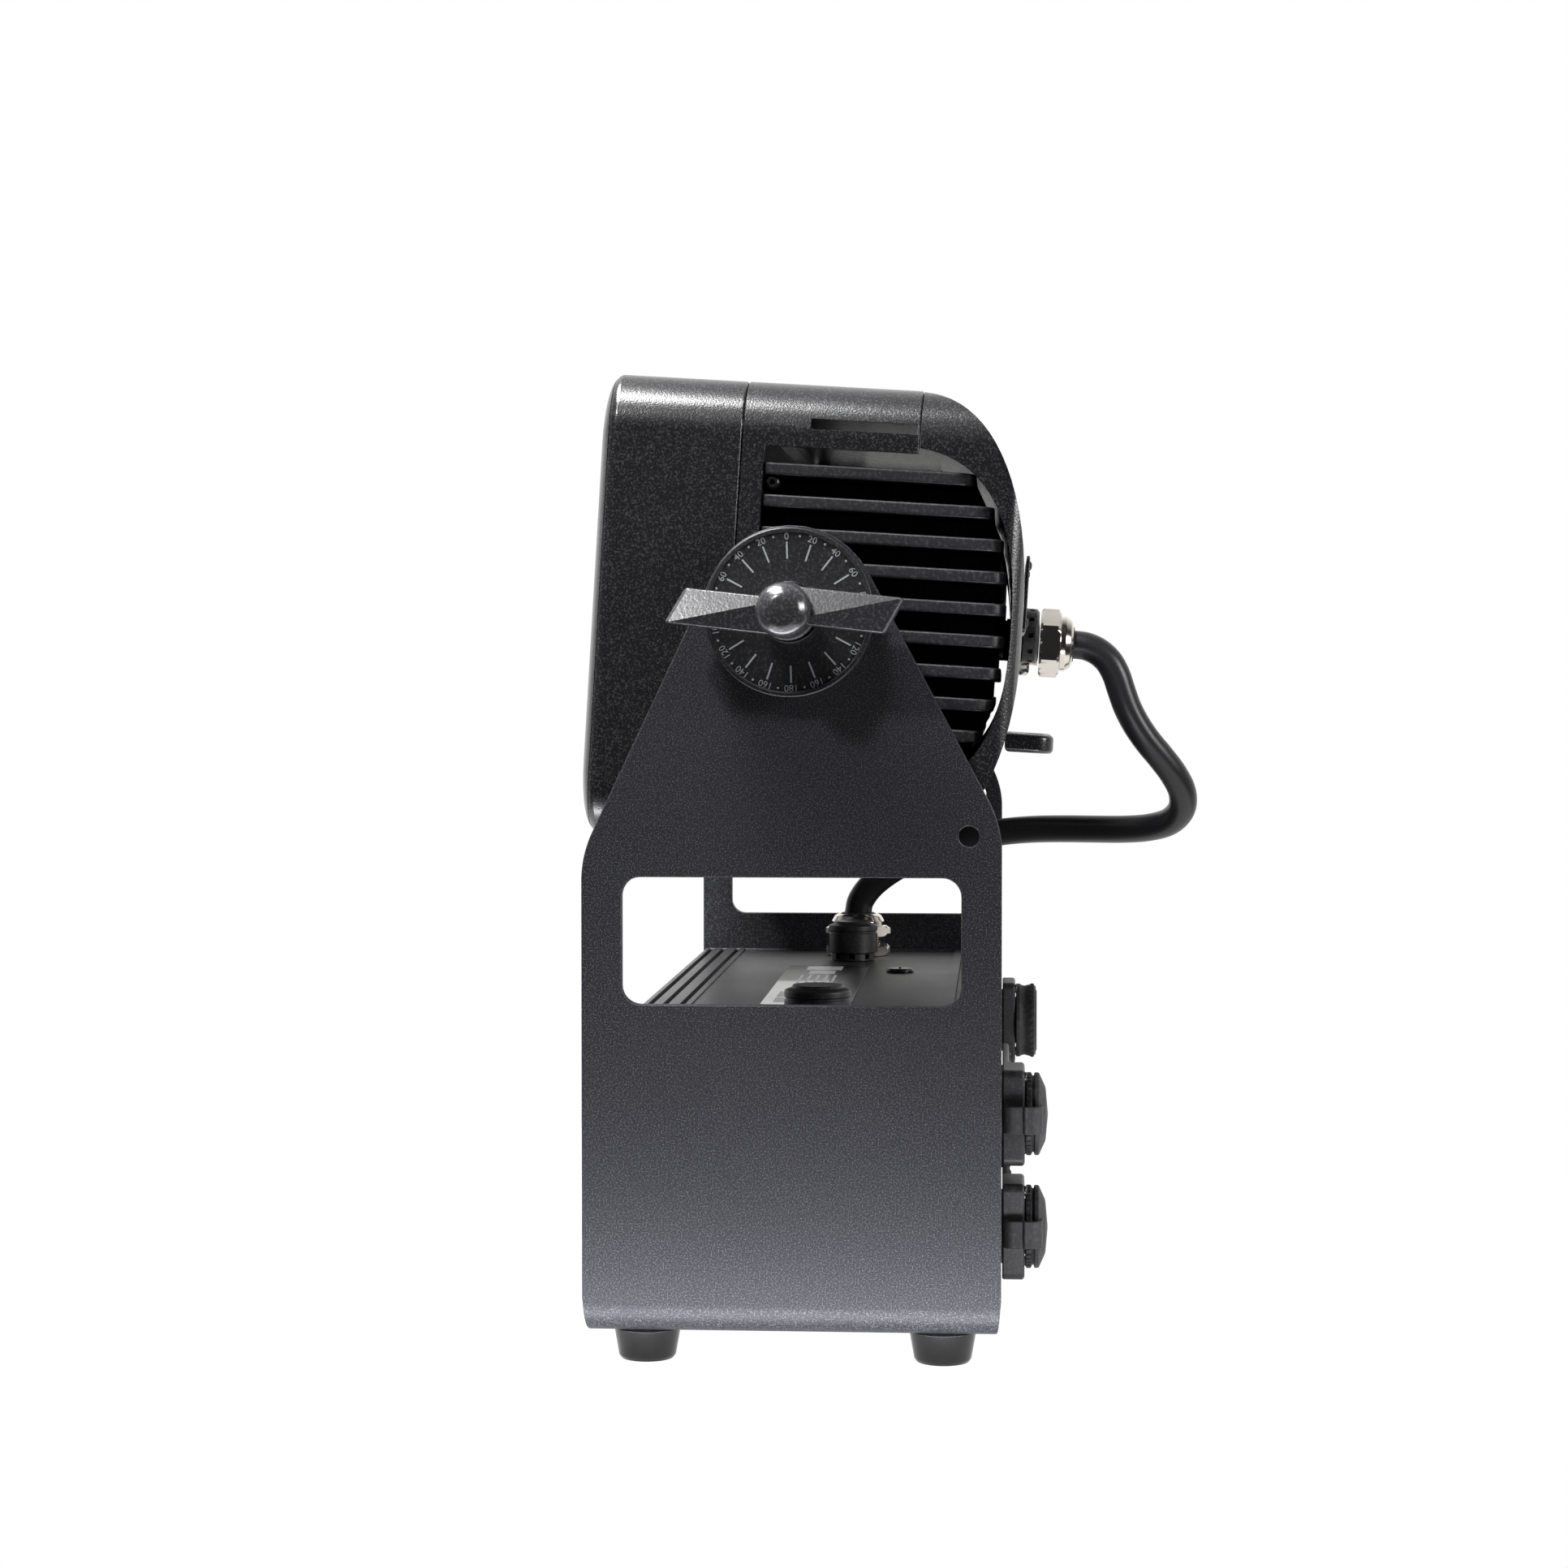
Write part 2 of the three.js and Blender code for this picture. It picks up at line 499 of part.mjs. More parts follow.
// Fin housing: a tube around the fins, with an open window and a slot above it on each side.
function finHousing() {
  const tube = cut(alongY(section(), HEAD_SEAM + GAP, CAP_SEAM, 4),
    alongY(section(HEAD_WALL), HEAD_SEAM - 1, CAP_SEAM + 1, 4));
  const wide = HEAD_HALF_WIDTH + 1;
  const window = alongX(roundedOutline([
    [WINDOW_FRONT, -WINDOW_HALF_HEIGHT, 1.5], [CAP_SEAM + 5, -WINDOW_HALF_HEIGHT],
    [CAP_SEAM + 5, WINDOW_HALF_HEIGHT], [WINDOW_FRONT, WINDOW_HALF_HEIGHT, 1.5],
  ]), -wide, wide, 1);
  const slot = { y0: 1.8, y1: 34.6, z0: 56.7, z1: 59.9 };
  const slots = [1, -1].map((side) => alongX(roundedRect((slot.y0 + slot.y1) / 2,
    side * (slot.z0 + slot.z1) / 2, (slot.y1 - slot.y0) / 2, (slot.z1 - slot.z0) / 2, 1.5), -wide, wide, 1));
  return cut(tube, window, ...slots);
}
onHead("fin_housing", finHousing(), castBlack);

// Rear cap: a curved shell whose side windows follow its back.
const capCurve = (front, start, pull, back, height) => {
  const outline = new THREE.Shape();
  outline.moveTo(front, -start);
  outline.lineTo(front, start);
  outline.bezierCurveTo(pull[0], start * 0.98, pull[1], height, back, 0);
  outline.bezierCurveTo(pull[1], -height, pull[0], -start * 0.98, front, -start);
  return outline;
};
const CAP_BACK = 70.2;
const capOutside = (front = CAP_SEAM + GAP) => capCurve(front, 70.9, [55, 71.4], CAP_BACK, 46);
const capInside = capCurve(CAP_SEAM - 6, 67.6, [52, 67.8], CAP_BACK - 3.5, 44);
const capWindow = capCurve(CAP_SEAM - 2, WINDOW_HALF_HEIGHT + 2, [52.5, 67.6], CAP_BACK - 3.5, 38);
const lug = { halfX: 25, y1: 84.7, z0: -41.3, z1: -34.7 };
const headVent = { x: -68, z: 2 };

function rearCap() {
  const wide = HEAD_HALF_WIDTH + 1;
  const planCorner = alongZ(roundedOutline([
    [-HEAD_HALF_WIDTH, 0], [HEAD_HALF_WIDTH, 0],
    [HEAD_HALF_WIDTH, 80, 9], [-HEAD_HALF_WIDTH, 80, 9],
  ]), -80, 80, 2).translate([0, CAP_BACK - 80 + 0.2, 0]);
  const outside = common(alongX(capOutside(), -wide, wide, 6),
    alongY(section(), CAP_SEAM - 1, 80, 4), planCorner);
  const inside = common(alongX(capInside, -wide, wide, 6), alongY(section(HEAD_WALL), 20, 80, 4));
  return cut(outside, inside, alongX(capWindow, -wide, wide, 6),
    rod(GLAND_STEM + GAP, 50, 80, "y", [headCable.x, 0, headCable.z]),
    rod(STEM + GAP, 50, 80, "y", [headVent.x, 0, headVent.z], 16),
    block(-lug.halfX - GAP, lug.halfX + GAP, 60, 80, lug.z0 - GAP, lug.z1 + GAP));
}
onHead("rear_cap", rearCap(), castBlack);

// Heat sink: base plate, horizontal fins tied by two webs, cable duct and pivot bosses.
const finReach = (z) => 65 - 11.6 * Math.abs(z / 44) ** 3;
const BOSS_RADIUS = 18;
const BOSS_INNER = HEAD_HALF_WIDTH - 30;
const STUD_RADIUS = 6;
const STUD_INNER = HEAD_HALF_WIDTH - 22;
const bothSides = (solid) => join(solid, solid.mirror([1, 0, 0]));

function heatSink() {
  const half = HEAD_HALF_WIDTH - 1.5;
  const root = half - 3; // narrower where it passes inside the housing's wall
  const base = block(-root, root, HEAD_SEAM + GAP, WINDOW_FRONT - 0.4, -56, 56);
  const fins = Array.from({ length: FIN_COUNT }, (_, i) => {
    const z = (i - (FIN_COUNT - 1) / 2) * FIN_PITCH;
    const back = finReach(z);
    const outline = roundedOutline([
      [-root, WINDOW_FRONT - 1], [root, WINDOW_FRONT - 1], [root, WINDOW_FRONT + GAP],
      [half, WINDOW_FRONT + GAP], [half, back, 6], [-half, back, 6],
      [-half, WINDOW_FRONT + GAP], [-root, WINDOW_FRONT + GAP],
    ]);
    return alongZ(outline, z - FIN_THICKNESS / 2, z + FIN_THICKNESS / 2, 2);
  });
  const web = alongX(roundedOutline([
    [WINDOW_FRONT - 1, -45], [53, -45], [62, -28], [62, 28], [53, 45], [WINDOW_FRONT - 1, 45],
  ]), 150, 153);
  const duct = alongY(roundedRect(-83, 0, 30, 14, 6), WINDOW_FRONT - 2, 63.4, 1);
  const ductBore = alongY(roundedRect(-83, 0, 27, 11, 4), WINDOW_FRONT + 2, 70, 1);
  const wire = rod(7, -30, 0, "y", [headCable.x, 0, headCable.z]);
  const boss = cut(rod(BOSS_RADIUS, BOSS_INNER, HEAD_HALF_WIDTH - 0.5, "x", [0, 0, 0], 20),
    block(root, HEAD_HALF_WIDTH, -BOSS_RADIUS - 1, WINDOW_FRONT + GAP, -BOSS_RADIUS, BOSS_RADIUS));
  const studHole = rod(STUD_RADIUS + GAP, STUD_INNER - 2, HEAD_HALF_WIDTH, "x", [0, 0, 0]);
  return cut(join(base, ...fins, duct, bothSides(web), bothSides(boss)), ductBore, wire, bothSides(studHole));
}
onHead("heat_sink", heatSink(), castBlack);

// ---- fittings on the back of the head ----
const HEAD_GLAND_REACH = 21.4;
const headGlandBase = [headCable.x, CAP_BACK + 0.2, headCable.z];
onHead("head_gland_body", glandBody("y", headGlandBase), nickel);
onHead("head_gland_nut", glandNut("y", headGlandBase, HEAD_GLAND_REACH), nickel);
onHead("head_gland_seal", glandSeal("y", headGlandBase, HEAD_GLAND_REACH), darkRubber);
onHead("head_vent", turned([
  [0, -5], [STEM, -5], [STEM, GAP], [9.4, GAP], [9.4, 1.2], [10.4, 1.6], [10.4, 6.4], [9.4, 7.4], [0, 7.4],
], "y", [headVent.x, CAP_BACK + 0.2, headVent.z]), blackPlastic);
onHead("rear_lug", cut(
  alongZ(roundedOutline([
    [-lug.halfX, 67.4], [lug.halfX, 67.4], [lug.halfX, lug.y1, 7], [-lug.halfX, lug.y1, 7],
  ]), lug.z0, lug.z1, 3),
  alongZ(roundedRect(0, 78, 9, 2.6, 2.5), lug.z0 - 1, lug.z1 + 1, 2),
), castBlack);
onHead("rear_plate", alongX(roundedRect(CAP_BACK + 1.3, 14.5, 0.6, 13.5, 0.5), -45, 45, 2), castBlack);

// ---- pivots: stud with a friction flange, graduated disc on the arm, wing knob ----
const DISC_RADIUS = 25.5;
const DISC_BACK = YOKE_HALF_WIDTH + GAP;
const DISC_FACE = 208;
const KNOB_BACK = 212;
const KNOB_APEX = 239.6;
const KNOB_TURN = THREE.MathUtils.degToRad(-3); // against the level of the head

function pivotStud() {
  return turned([
    [0, STUD_INNER], [STUD_RADIUS, STUD_INNER], [STUD_RADIUS, HEAD_HALF_WIDTH + GAP],
    [17, HEAD_HALF_WIDTH + GAP], [17, ARM_INNER - GAP], [PIVOT_BORE - GAP, ARM_INNER - GAP],
    [PIVOT_BORE - GAP, KNOB_BACK - GAP], [5, KNOB_BACK - GAP], [5, 230], [0, 230],
  ], "x", [0, 0, 0]);
}

function scaleDisc() {
  return turned([
    [PIVOT_BORE + GAP, DISC_BACK], [DISC_RADIUS, DISC_BACK], [DISC_RADIUS, DISC_FACE - 0.6],
    [DISC_RADIUS - 0.6, DISC_FACE], [DISC_RADIUS - 1.4, DISC_FACE], [DISC_RADIUS - 1.6, DISC_FACE - 0.7],
    [PIVOT_BORE + GAP, DISC_FACE - 0.7], [PIVOT_BORE + GAP, DISC_BACK],
  ], "x", [0, 0, PIVOT_Z], 28);
}

function wingKnob() {
  const hub = turned([
    [0, KNOB_BACK], [8, KNOB_BACK], [8, 234.5], [6.9, 237.6], [4.4, 239.2], [0, KNOB_APEX],
  ], "x", [0, 0, 0], 16);
  const wings = alongX(roundedOutline([
    [-34.4, -7.5, 1.5], [-4, -7.5, 2], [4, -3.5, 2], [30, -3.5, 3],
    [34.7, 7.5, 1.5], [4, 7.5, 2], [-4, 3.5, 2], [-29.8, 3.5, 1.5],
  ]), 217, 232, 2);
  const socketBore = rod(5 + GAP, KNOB_BACK - 1, 231, "x", [0, 0, 0], 12);
  return cut(join(hub, wings), socketBore);
}

const mirrored = (solid) => solid.mirror([1, 0, 0]);
for (const [side, flip] of [["right", (s) => s], ["left", mirrored]]) {
  onHead(`pivot_stud_${side}`, flip(pivotStud()), steel);
  place(`tilt_scale_${side}`, flip(scaleDisc()), powderCoat);
  onHead(`wing_knob_${side}`, flip(wingKnob().rotate([THREE.MathUtils.radToDeg(KNOB_TURN), 0, 0])), blackPlastic);
}

// ---- link cable: from the gland on the head's back round to the gland on the deck ----
const linkCableRoute = [
  [-98, 92, 225.7], [-98.1, 97, 225], [-98.3, 101.8, 222.8], [-98.6, 105.9, 219], [-99.1, 108.8, 213.8],
  [-99.8, 110.9, 207.6], [-100.8, 113.4, 200.8], [-102.4, 117, 194], [-104.6, 121.6, 187.4],
  [-107.6, 127, 181], [-111.4, 132.2, 174.2], [-116.6, 135.9, 167], [-123, 136, 160], [-129.8, 131.6, 154.6],
  [-136, 123.6, 151.9], [-141.2, 113.6, 150.9], [-146, 102, 150.7], [-150.4, 89.4, 150.6],
  [-154, 77, 150.2], [-157, 64.6, 149], [-159.4, 52.4, 146.6], [-161, 40.4, 142.8], [-162.1, 29, 138.2],
  [-162.7, 18.4, 132.8], [-162.9, 10, 126.4], [-163, 5.2, 120], [-163, 4, 114.8],
].map((point) => new THREE.Vector3(...point));

function linkCable() {
  const route = new THREE.CatmullRomCurve3(linkCableRoute, false, "centripetal");
  const ring = new THREE.Shape();
  ring.absarc(0, 0, CABLE_RADIUS, 0, 2 * Math.PI, false);
  return toSolid(new THREE.ExtrudeGeometry(ring, { steps: 26, curveSegments: 5, extrudePath: route }));
}
place("link_cable", linkCable(), darkRubber);

const washLight = new THREE.Group();
washLight.add(light);
export default washLight;
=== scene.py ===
import json
import math

import bmesh
import bpy
from mathutils import Matrix, Vector


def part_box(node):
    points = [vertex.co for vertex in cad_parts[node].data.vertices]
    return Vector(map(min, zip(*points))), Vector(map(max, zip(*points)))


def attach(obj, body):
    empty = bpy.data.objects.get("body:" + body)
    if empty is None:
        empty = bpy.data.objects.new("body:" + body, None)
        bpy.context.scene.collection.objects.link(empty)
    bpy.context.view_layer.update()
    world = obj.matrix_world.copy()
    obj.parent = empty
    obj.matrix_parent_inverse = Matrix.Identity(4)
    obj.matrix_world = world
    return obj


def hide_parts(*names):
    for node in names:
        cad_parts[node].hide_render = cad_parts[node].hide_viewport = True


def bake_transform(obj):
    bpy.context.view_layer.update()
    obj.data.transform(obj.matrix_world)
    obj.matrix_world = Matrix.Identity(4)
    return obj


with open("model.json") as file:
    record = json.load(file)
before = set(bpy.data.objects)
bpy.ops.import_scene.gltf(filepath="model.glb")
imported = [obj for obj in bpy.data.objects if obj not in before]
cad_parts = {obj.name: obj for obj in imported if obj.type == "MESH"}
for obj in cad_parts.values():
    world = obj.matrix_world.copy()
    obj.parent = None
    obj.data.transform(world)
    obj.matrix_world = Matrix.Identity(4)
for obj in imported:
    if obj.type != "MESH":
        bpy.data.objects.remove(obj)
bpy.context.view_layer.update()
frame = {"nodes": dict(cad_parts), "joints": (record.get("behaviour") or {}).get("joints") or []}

# ---- Studio ----
# A small glowing white table in a dim room whose walls show white. One large soft box hangs above the
# front of the light, others stand on the camera's side and behind, and a strip glows by the yoke's foot.
stage = bpy.context.scene
stage.view_settings.view_transform = "Standard"
stage.view_settings.look = "None"


def new_object(name, data):
    made = bpy.data.objects.new(name, data)
    stage.collection.objects.link(made)
    return made


def node_material(name):
    material = bpy.data.materials.new(name)
    material.use_nodes = True
    return material, material.node_tree, material.node_tree.nodes["Principled BSDF"]


table_radius = 0.36
table_sides = 64
floor_mesh = bpy.data.meshes.new("table_top")
floor_mesh.from_pydata([(table_radius * math.cos(2 * math.pi * k / table_sides),
                         table_radius * math.sin(2 * math.pi * k / table_sides), 0) for k in range(table_sides)],
                       [], [tuple(range(table_sides))])
floor = new_object("table_top", floor_mesh)
floor_white, _, floor_shader = node_material("table_white")
floor_shader.inputs["Base Color"].default_value = (0.08, 0.08, 0.08, 1)
floor_shader.inputs["Roughness"].default_value = 0.9
floor_shader.inputs["Specular IOR Level"].default_value = 0.0
floor_shader.inputs["Emission Color"].default_value = (1, 1, 1, 1)
floor_shader.inputs["Emission Strength"].default_value = 1.0
floor_mesh.materials.append(floor_white)

room = bpy.data.worlds.new("white_room")
room.use_nodes = True
stage.world = room
room_nodes = room.node_tree.nodes
room_links = room.node_tree.links
backdrop = room_nodes["Background"]
backdrop.inputs["Color"].default_value = (1, 1, 1, 1)
backdrop.inputs["Strength"].default_value = 1.0
dim_room = room_nodes.new("ShaderNodeBackground")
dim_room.inputs["Color"].default_value = (1, 0.99, 0.98, 1)
direction = room_nodes.new("ShaderNodeTexCoord")
compass = room_nodes.new("ShaderNodeSeparateXYZ")
far_wall = room_nodes.new("ShaderNodeMapRange")  # bright beyond the light, dark on the camera's side
for label, value in (("From Min", -0.85), ("From Max", 0.1), ("To Min", 1.1), ("To Max", 0.02)):
    far_wall.inputs[label].default_value = value
room_links.new(direction.outputs["Generated"], compass.inputs[0])
room_links.new(compass.outputs["X"], far_wall.inputs["Value"])
room_links.new(far_wall.outputs["Result"], dim_room.inputs["Strength"])
ray = room_nodes.new("ShaderNodeLightPath")
either = room_nodes.new("ShaderNodeMixShader")
room_links.new(ray.outputs["Is Camera Ray"], either.inputs["Fac"])
room_links.new(dim_room.outputs[0], either.inputs[1])
room_links.new(backdrop.outputs[0], either.inputs[2])
room_links.new(either.outputs[0], room_nodes["World Output"].inputs["Surface"])


def soft_box(name, place, aim, width, depth, watts, colour=(1, 1, 1)):
    light = bpy.data.lights.new(name, "AREA")
    light.shape = "RECTANGLE"
    light.size = width
    light.size_y = depth
    light.energy = watts
    light.color = colour
    made = new_object(name, light)
    made.location = place
    made.rotation_euler = (Vector(aim) - Vector(place)).to_track_quat("-Z", "Y").to_euler()
    made.visible_camera = False
    return made


soft_box("overhead_box", (0.3, -0.4, 1.2), (0.15, -0.05, 0.2), 0.8, 0.36, 42)
soft_box("camera_side_box", (1.5, -0.7, 1.35), (0.1, 0, 0.2), 0.14, 0.14, 16)
soft_box("rear_box", (0.55, 1.25, 0.5), (0, 0.05, 0.24), 0.4, 0.4, 9)
soft_box("foot_strip", (0.23, 0, 0.003), (0.23, 0, 0.4), 0.05, 0.36, 0.68, (0.94, 0.93, 1))

# The camera stands at the right-hand side, about the height of the tilt axis.
camera = bpy.data.cameras.new("camera")
camera.lens = 72.4
camera.sensor_width = 36
camera_stand = new_object("camera", camera)
camera_stand.location = (1.153, 0.0514, 0.2085)
yaw = math.radians(3.96)
pitch = math.radians(1.74)
looking = Vector((-math.cos(yaw) * math.cos(pitch), -math.sin(yaw) * math.cos(pitch), -math.sin(pitch)))
camera_stand.rotation_euler = looking.to_track_quat("-Z", "Y").to_euler()
stage.camera = camera_stand

# ---- Link cable ----
# A round rubber-sheathed cable that feeds the head. It leaves the gland on the head's back, sags in
# one loop behind the yoke and drops into the gland on the deck.
MM = 0.001
tilt_joint = next(joint for joint in frame["joints"] if joint["name"] == "head_tilt")
axis_y, axis_z = tilt_joint["pos_m"][1:]
AT_YOKE = Matrix.Translation((0, axis_y, 0)) @ Matrix.Scale(MM, 4)
cable_radius = 5.6
cable_route = [
    (-98, 92, 225.7), (-98.1, 97, 225), (-98.3, 101.8, 222.8), (-98.6, 105.9, 219), (-99.1, 108.8, 213.8),
    (-99.8, 110.9, 207.6), (-100.8, 113.4, 200.8), (-102.4, 117, 194), (-104.6, 121.6, 187.4),
    (-107.6, 127, 181), (-111.4, 132.2, 174.2), (-116.6, 135.9, 167), (-123, 136, 160), (-129.8, 131.6, 154.6),
    (-136, 123.6, 151.9), (-141.2, 113.6, 150.9), (-146, 102, 150.7), (-150.4, 89.4, 150.6),
    (-154, 77, 150.2), (-157, 64.6, 149), (-159.4, 52.4, 146.6), (-161, 40.4, 142.8), (-162.1, 29, 138.2),
    (-162.7, 18.4, 132.8), (-162.9, 10, 126.4), (-163, 5.2, 120), (-163, 4, 114.8),
]


def through(points, steps):
    """Points of a smooth line through all the given ones."""
    ends = [2 * points[0] - points[1], *points, 2 * points[-1] - points[-2]]
    line = []
    for a, b, c, d in zip(ends, ends[1:], ends[2:], ends[3:]):
        for i in range(steps):
            t = i / steps
            line.append(0.5 * (2 * b + (c - a) * t + (2 * a - 5 * b + 4 * c - d) * t * t
                               + (3 * b - a - 3 * c + d) * t ** 3))
    return [*line, points[-1]]


def lofted(loops, closed=False):
    """Mesh through point loops of equal length: open with two end faces, or closed on itself."""
    count = len(loops[0])
    points = [tuple(point) for loop in loops for point in loop]
    faces = []
    for i in range(len(loops) if closed else len(loops) - 1):
        here = i * count
        there = (i + 1) % len(loops) * count
        faces += [(here + k, here + (k + 1) % count, there + (k + 1) % count, there + k) for k in range(count)]
    if not closed:
        faces += [tuple(range(count)), tuple(range(len(points) - count, len(points)))]
    mesh = bpy.data.meshes.new("lofted")
    mesh.from_pydata(points, [], faces)
    return facing_out(mesh)


def facing_out(mesh, merge=1e-4):
    work = bmesh.new()
    work.from_mesh(mesh)
    bmesh.ops.remove_doubles(work, verts=work.verts, dist=merge)
    bmesh.ops.recalc_face_normals(work, faces=work.faces)
    work.to_mesh(mesh)
    work.free()
    return mesh


def swept(line, radius, sides):
    """Tube of a round section along a line."""
    loops = []
    side = None
    for i, point in enumerate(line):
        ahead = (line[min(i + 1, len(line) - 1)] - line[max(i - 1, 0)]).normalized()
        side = ahead.orthogonal() if side is None else side - ahead * side.dot(ahead)
        side.normalize()
        up = ahead.cross(side)
        turns = [2 * math.pi * k / sides for k in range(sides)]
        loops.append([point + radius * (math.cos(turn) * side + math.sin(turn) * up) for turn in turns])
    return lofted(loops)


def smoothed(mesh, angle=38):
    mesh.polygons.foreach_set("use_smooth", [True] * len(mesh.polygons))
    mesh.set_sharp_from_angle(angle=math.radians(angle))
    return mesh


def coated(name, colour, roughness, grain=None, depth=0.0, metal=0.0, speckle=0.0, patches=0.12,
           coat=0.0, specular=0.5):
    """Painted or moulded finish: fine grain in the surface, faint lighter specks, uneven gloss."""
    material, tree, shader = node_material(name)
    nodes, links = tree.nodes, tree.links
    place = nodes.new("ShaderNodeTexCoord")
    fine = nodes.new("ShaderNodeTexNoise")
    fine.inputs["Scale"].default_value = grain or 400
    fine.inputs["Detail"].default_value = 3
    broad = nodes.new("ShaderNodeTexNoise")
    broad.inputs["Scale"].default_value = 28
    broad.inputs["Detail"].default_value = 4
    for texture in (fine, broad):
        links.new(place.outputs["Object"], texture.inputs["Vector"])
    tone = nodes.new("ShaderNodeValToRGB")
    tone.color_ramp.elements[0].position = 0.5
    tone.color_ramp.elements[0].color = (*colour, 1)
    tone.color_ramp.elements[1].position = 0.68
    tone.color_ramp.elements[1].color = (*[min(1, c + speckle) for c in colour], 1)
    links.new(fine.outputs["Fac"], tone.inputs["Fac"])
    links.new(tone.outputs["Color"], shader.inputs["Base Color"])
    gloss = nodes.new("ShaderNodeMapRange")
    gloss.inputs["To Min"].default_value = roughness * (1 - patches)
    gloss.inputs["To Max"].default_value = roughness * (1 + patches)
    links.new(broad.outputs["Fac"], gloss.inputs["Value"])
    links.new(gloss.outputs["Result"], shader.inputs["Roughness"])
    if depth:
        bump = nodes.new("ShaderNodeBump")
        bump.inputs["Distance"].default_value = depth
        bump.inputs["Strength"].default_value = 0.6
        links.new(fine.outputs["Fac"], bump.inputs["Height"])
        links.new(bump.outputs["Normal"], shader.inputs["Normal"])
    shader.inputs["Metallic"].default_value = metal
    shader.inputs["Coat Weight"].default_value = coat
    shader.inputs["Specular IOR Level"].default_value = specular
    return material


def fitted(name, mesh, material, body, slot, *nodes, where=AT_YOKE, angle=38):
    """Puts a finished mesh, drawn in millimetres, in its place and hands it to its body."""
    mesh.transform(where)
    smoothed(mesh, angle)
    mesh.name = name
    mesh.materials.clear()
    mesh.materials.append(material)
    piece = new_object(name, mesh)
    even = piece.modifiers.new("even_shading", "WEIGHTED_NORMAL")
    even.keep_sharp = True
    if body:
        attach(piece, body)
    if nodes:
        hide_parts(*nodes)
    return piece


route = through([Vector(point) for point in cable_route], 5)
inside = 5  # the cable goes this much further into each gland
tube_line = [route[0] + (route[0] - route[1]).normalized() * inside, *route,
             route[-1] + (route[-1] - route[-2]).normalized() * inside]
sheath = coated("cable_sheath", (0.012, 0.012, 0.014), 0.34, grain=900, depth=0.00003, speckle=0.004,
                patches=0.25)
cable = fitted("supply_cable", swept(tube_line, cable_radius, 28), sheath, None, "cable_sheath", "link_cable")
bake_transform(cable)

# ---- Yoke ----
# One 5 mm plate, cut with its holes, then bent up at both ends into a U. The arms taper to a round
# end at the tilt axis. Fine-textured dark powder coat.
plate = 5.0
arm_face = 200.0
arm_half_depth = 64.0
base_half_depth = 62.6
base_underside = 11.0
bend_radius = 9.0
arm_end_radius = 26.5
axis_height = axis_z / MM
front_taper = math.radians(25.2)
rear_taper = math.radians(27.8)
bend_start = arm_face - bend_radius
bend_length = (bend_radius - plate / 2) * math.pi / 2


def rounded(corners, steps=8, closed=True):
    """Points of an outline through corners (u, v, radius), with an arc at each one that has a radius."""
    points = []
    last = len(corners) - 1
    for i, corner in enumerate(corners):
        here = Vector(corner[:2])
        radius = corner[2] if len(corner) > 2 else 0
        if radius == 0 or (not closed and i in (0, last)):
            points.append(here)
            continue
        before = (Vector(corners[i - 1][:2]) - here).normalized()
        after = (Vector(corners[(i + 1) % len(corners)][:2]) - here).normalized()
        half = math.acos(max(-1, min(1, before.dot(after)))) / 2
        centre = here + (before + after).normalized() * radius / math.sin(half)
        setback = radius / math.tan(half)
        start = here + before * setback - centre
        end = here + after * setback - centre
        sweep = start.angle_signed(end)
        for k in range(steps + 1):
            turn = -sweep * k / steps
            points.append(centre + Vector((start.x * math.cos(turn) - start.y * math.sin(turn),
                                           start.x * math.sin(turn) + start.y * math.cos(turn))))
    return points


def box_outline(u, v, half_u, half_v, radius, steps=8):
    return rounded([(u - half_u, v - half_v, radius), (u + half_u, v - half_v, radius),
                    (u + half_u, v + half_v, radius), (u - half_u, v + half_v, radius)], steps)


def circle(u, v, radius, steps=40):
    return [Vector((u + radius * math.cos(2 * math.pi * k / steps), v + radius * math.sin(2 * math.pi * k / steps)))
            for k in range(steps)]


def slab(outlines, low, high, edge, steps=2):
    """Flat plate between two levels: the first outline less the others, with softened edges."""
    curve = bpy.data.curves.new("outline", "CURVE")
    curve.dimensions = "2D"
    curve.fill_mode = "BOTH"
    curve.extrude = (high - low) / 2 - edge
    curve.bevel_depth = edge
    curve.bevel_resolution = steps
    curve.offset = -edge
    for outline in outlines:
        spline = curve.splines.new("POLY")
        spline.points.add(len(outline) - 1)
        for point, (u, v) in zip(spline.points, outline):
            point.co = (u, v, 0, 1)
        spline.use_cyclic_u = True
    drawn = new_object("outline", curve)
    mesh = bpy.data.meshes.new_from_object(drawn.evaluated_get(bpy.context.evaluated_depsgraph_get()))
    bpy.data.objects.remove(drawn)
    mesh.transform(Matrix.Translation((0, 0, (low + high) / 2)))
    return facing_out(mesh, 1e-3)


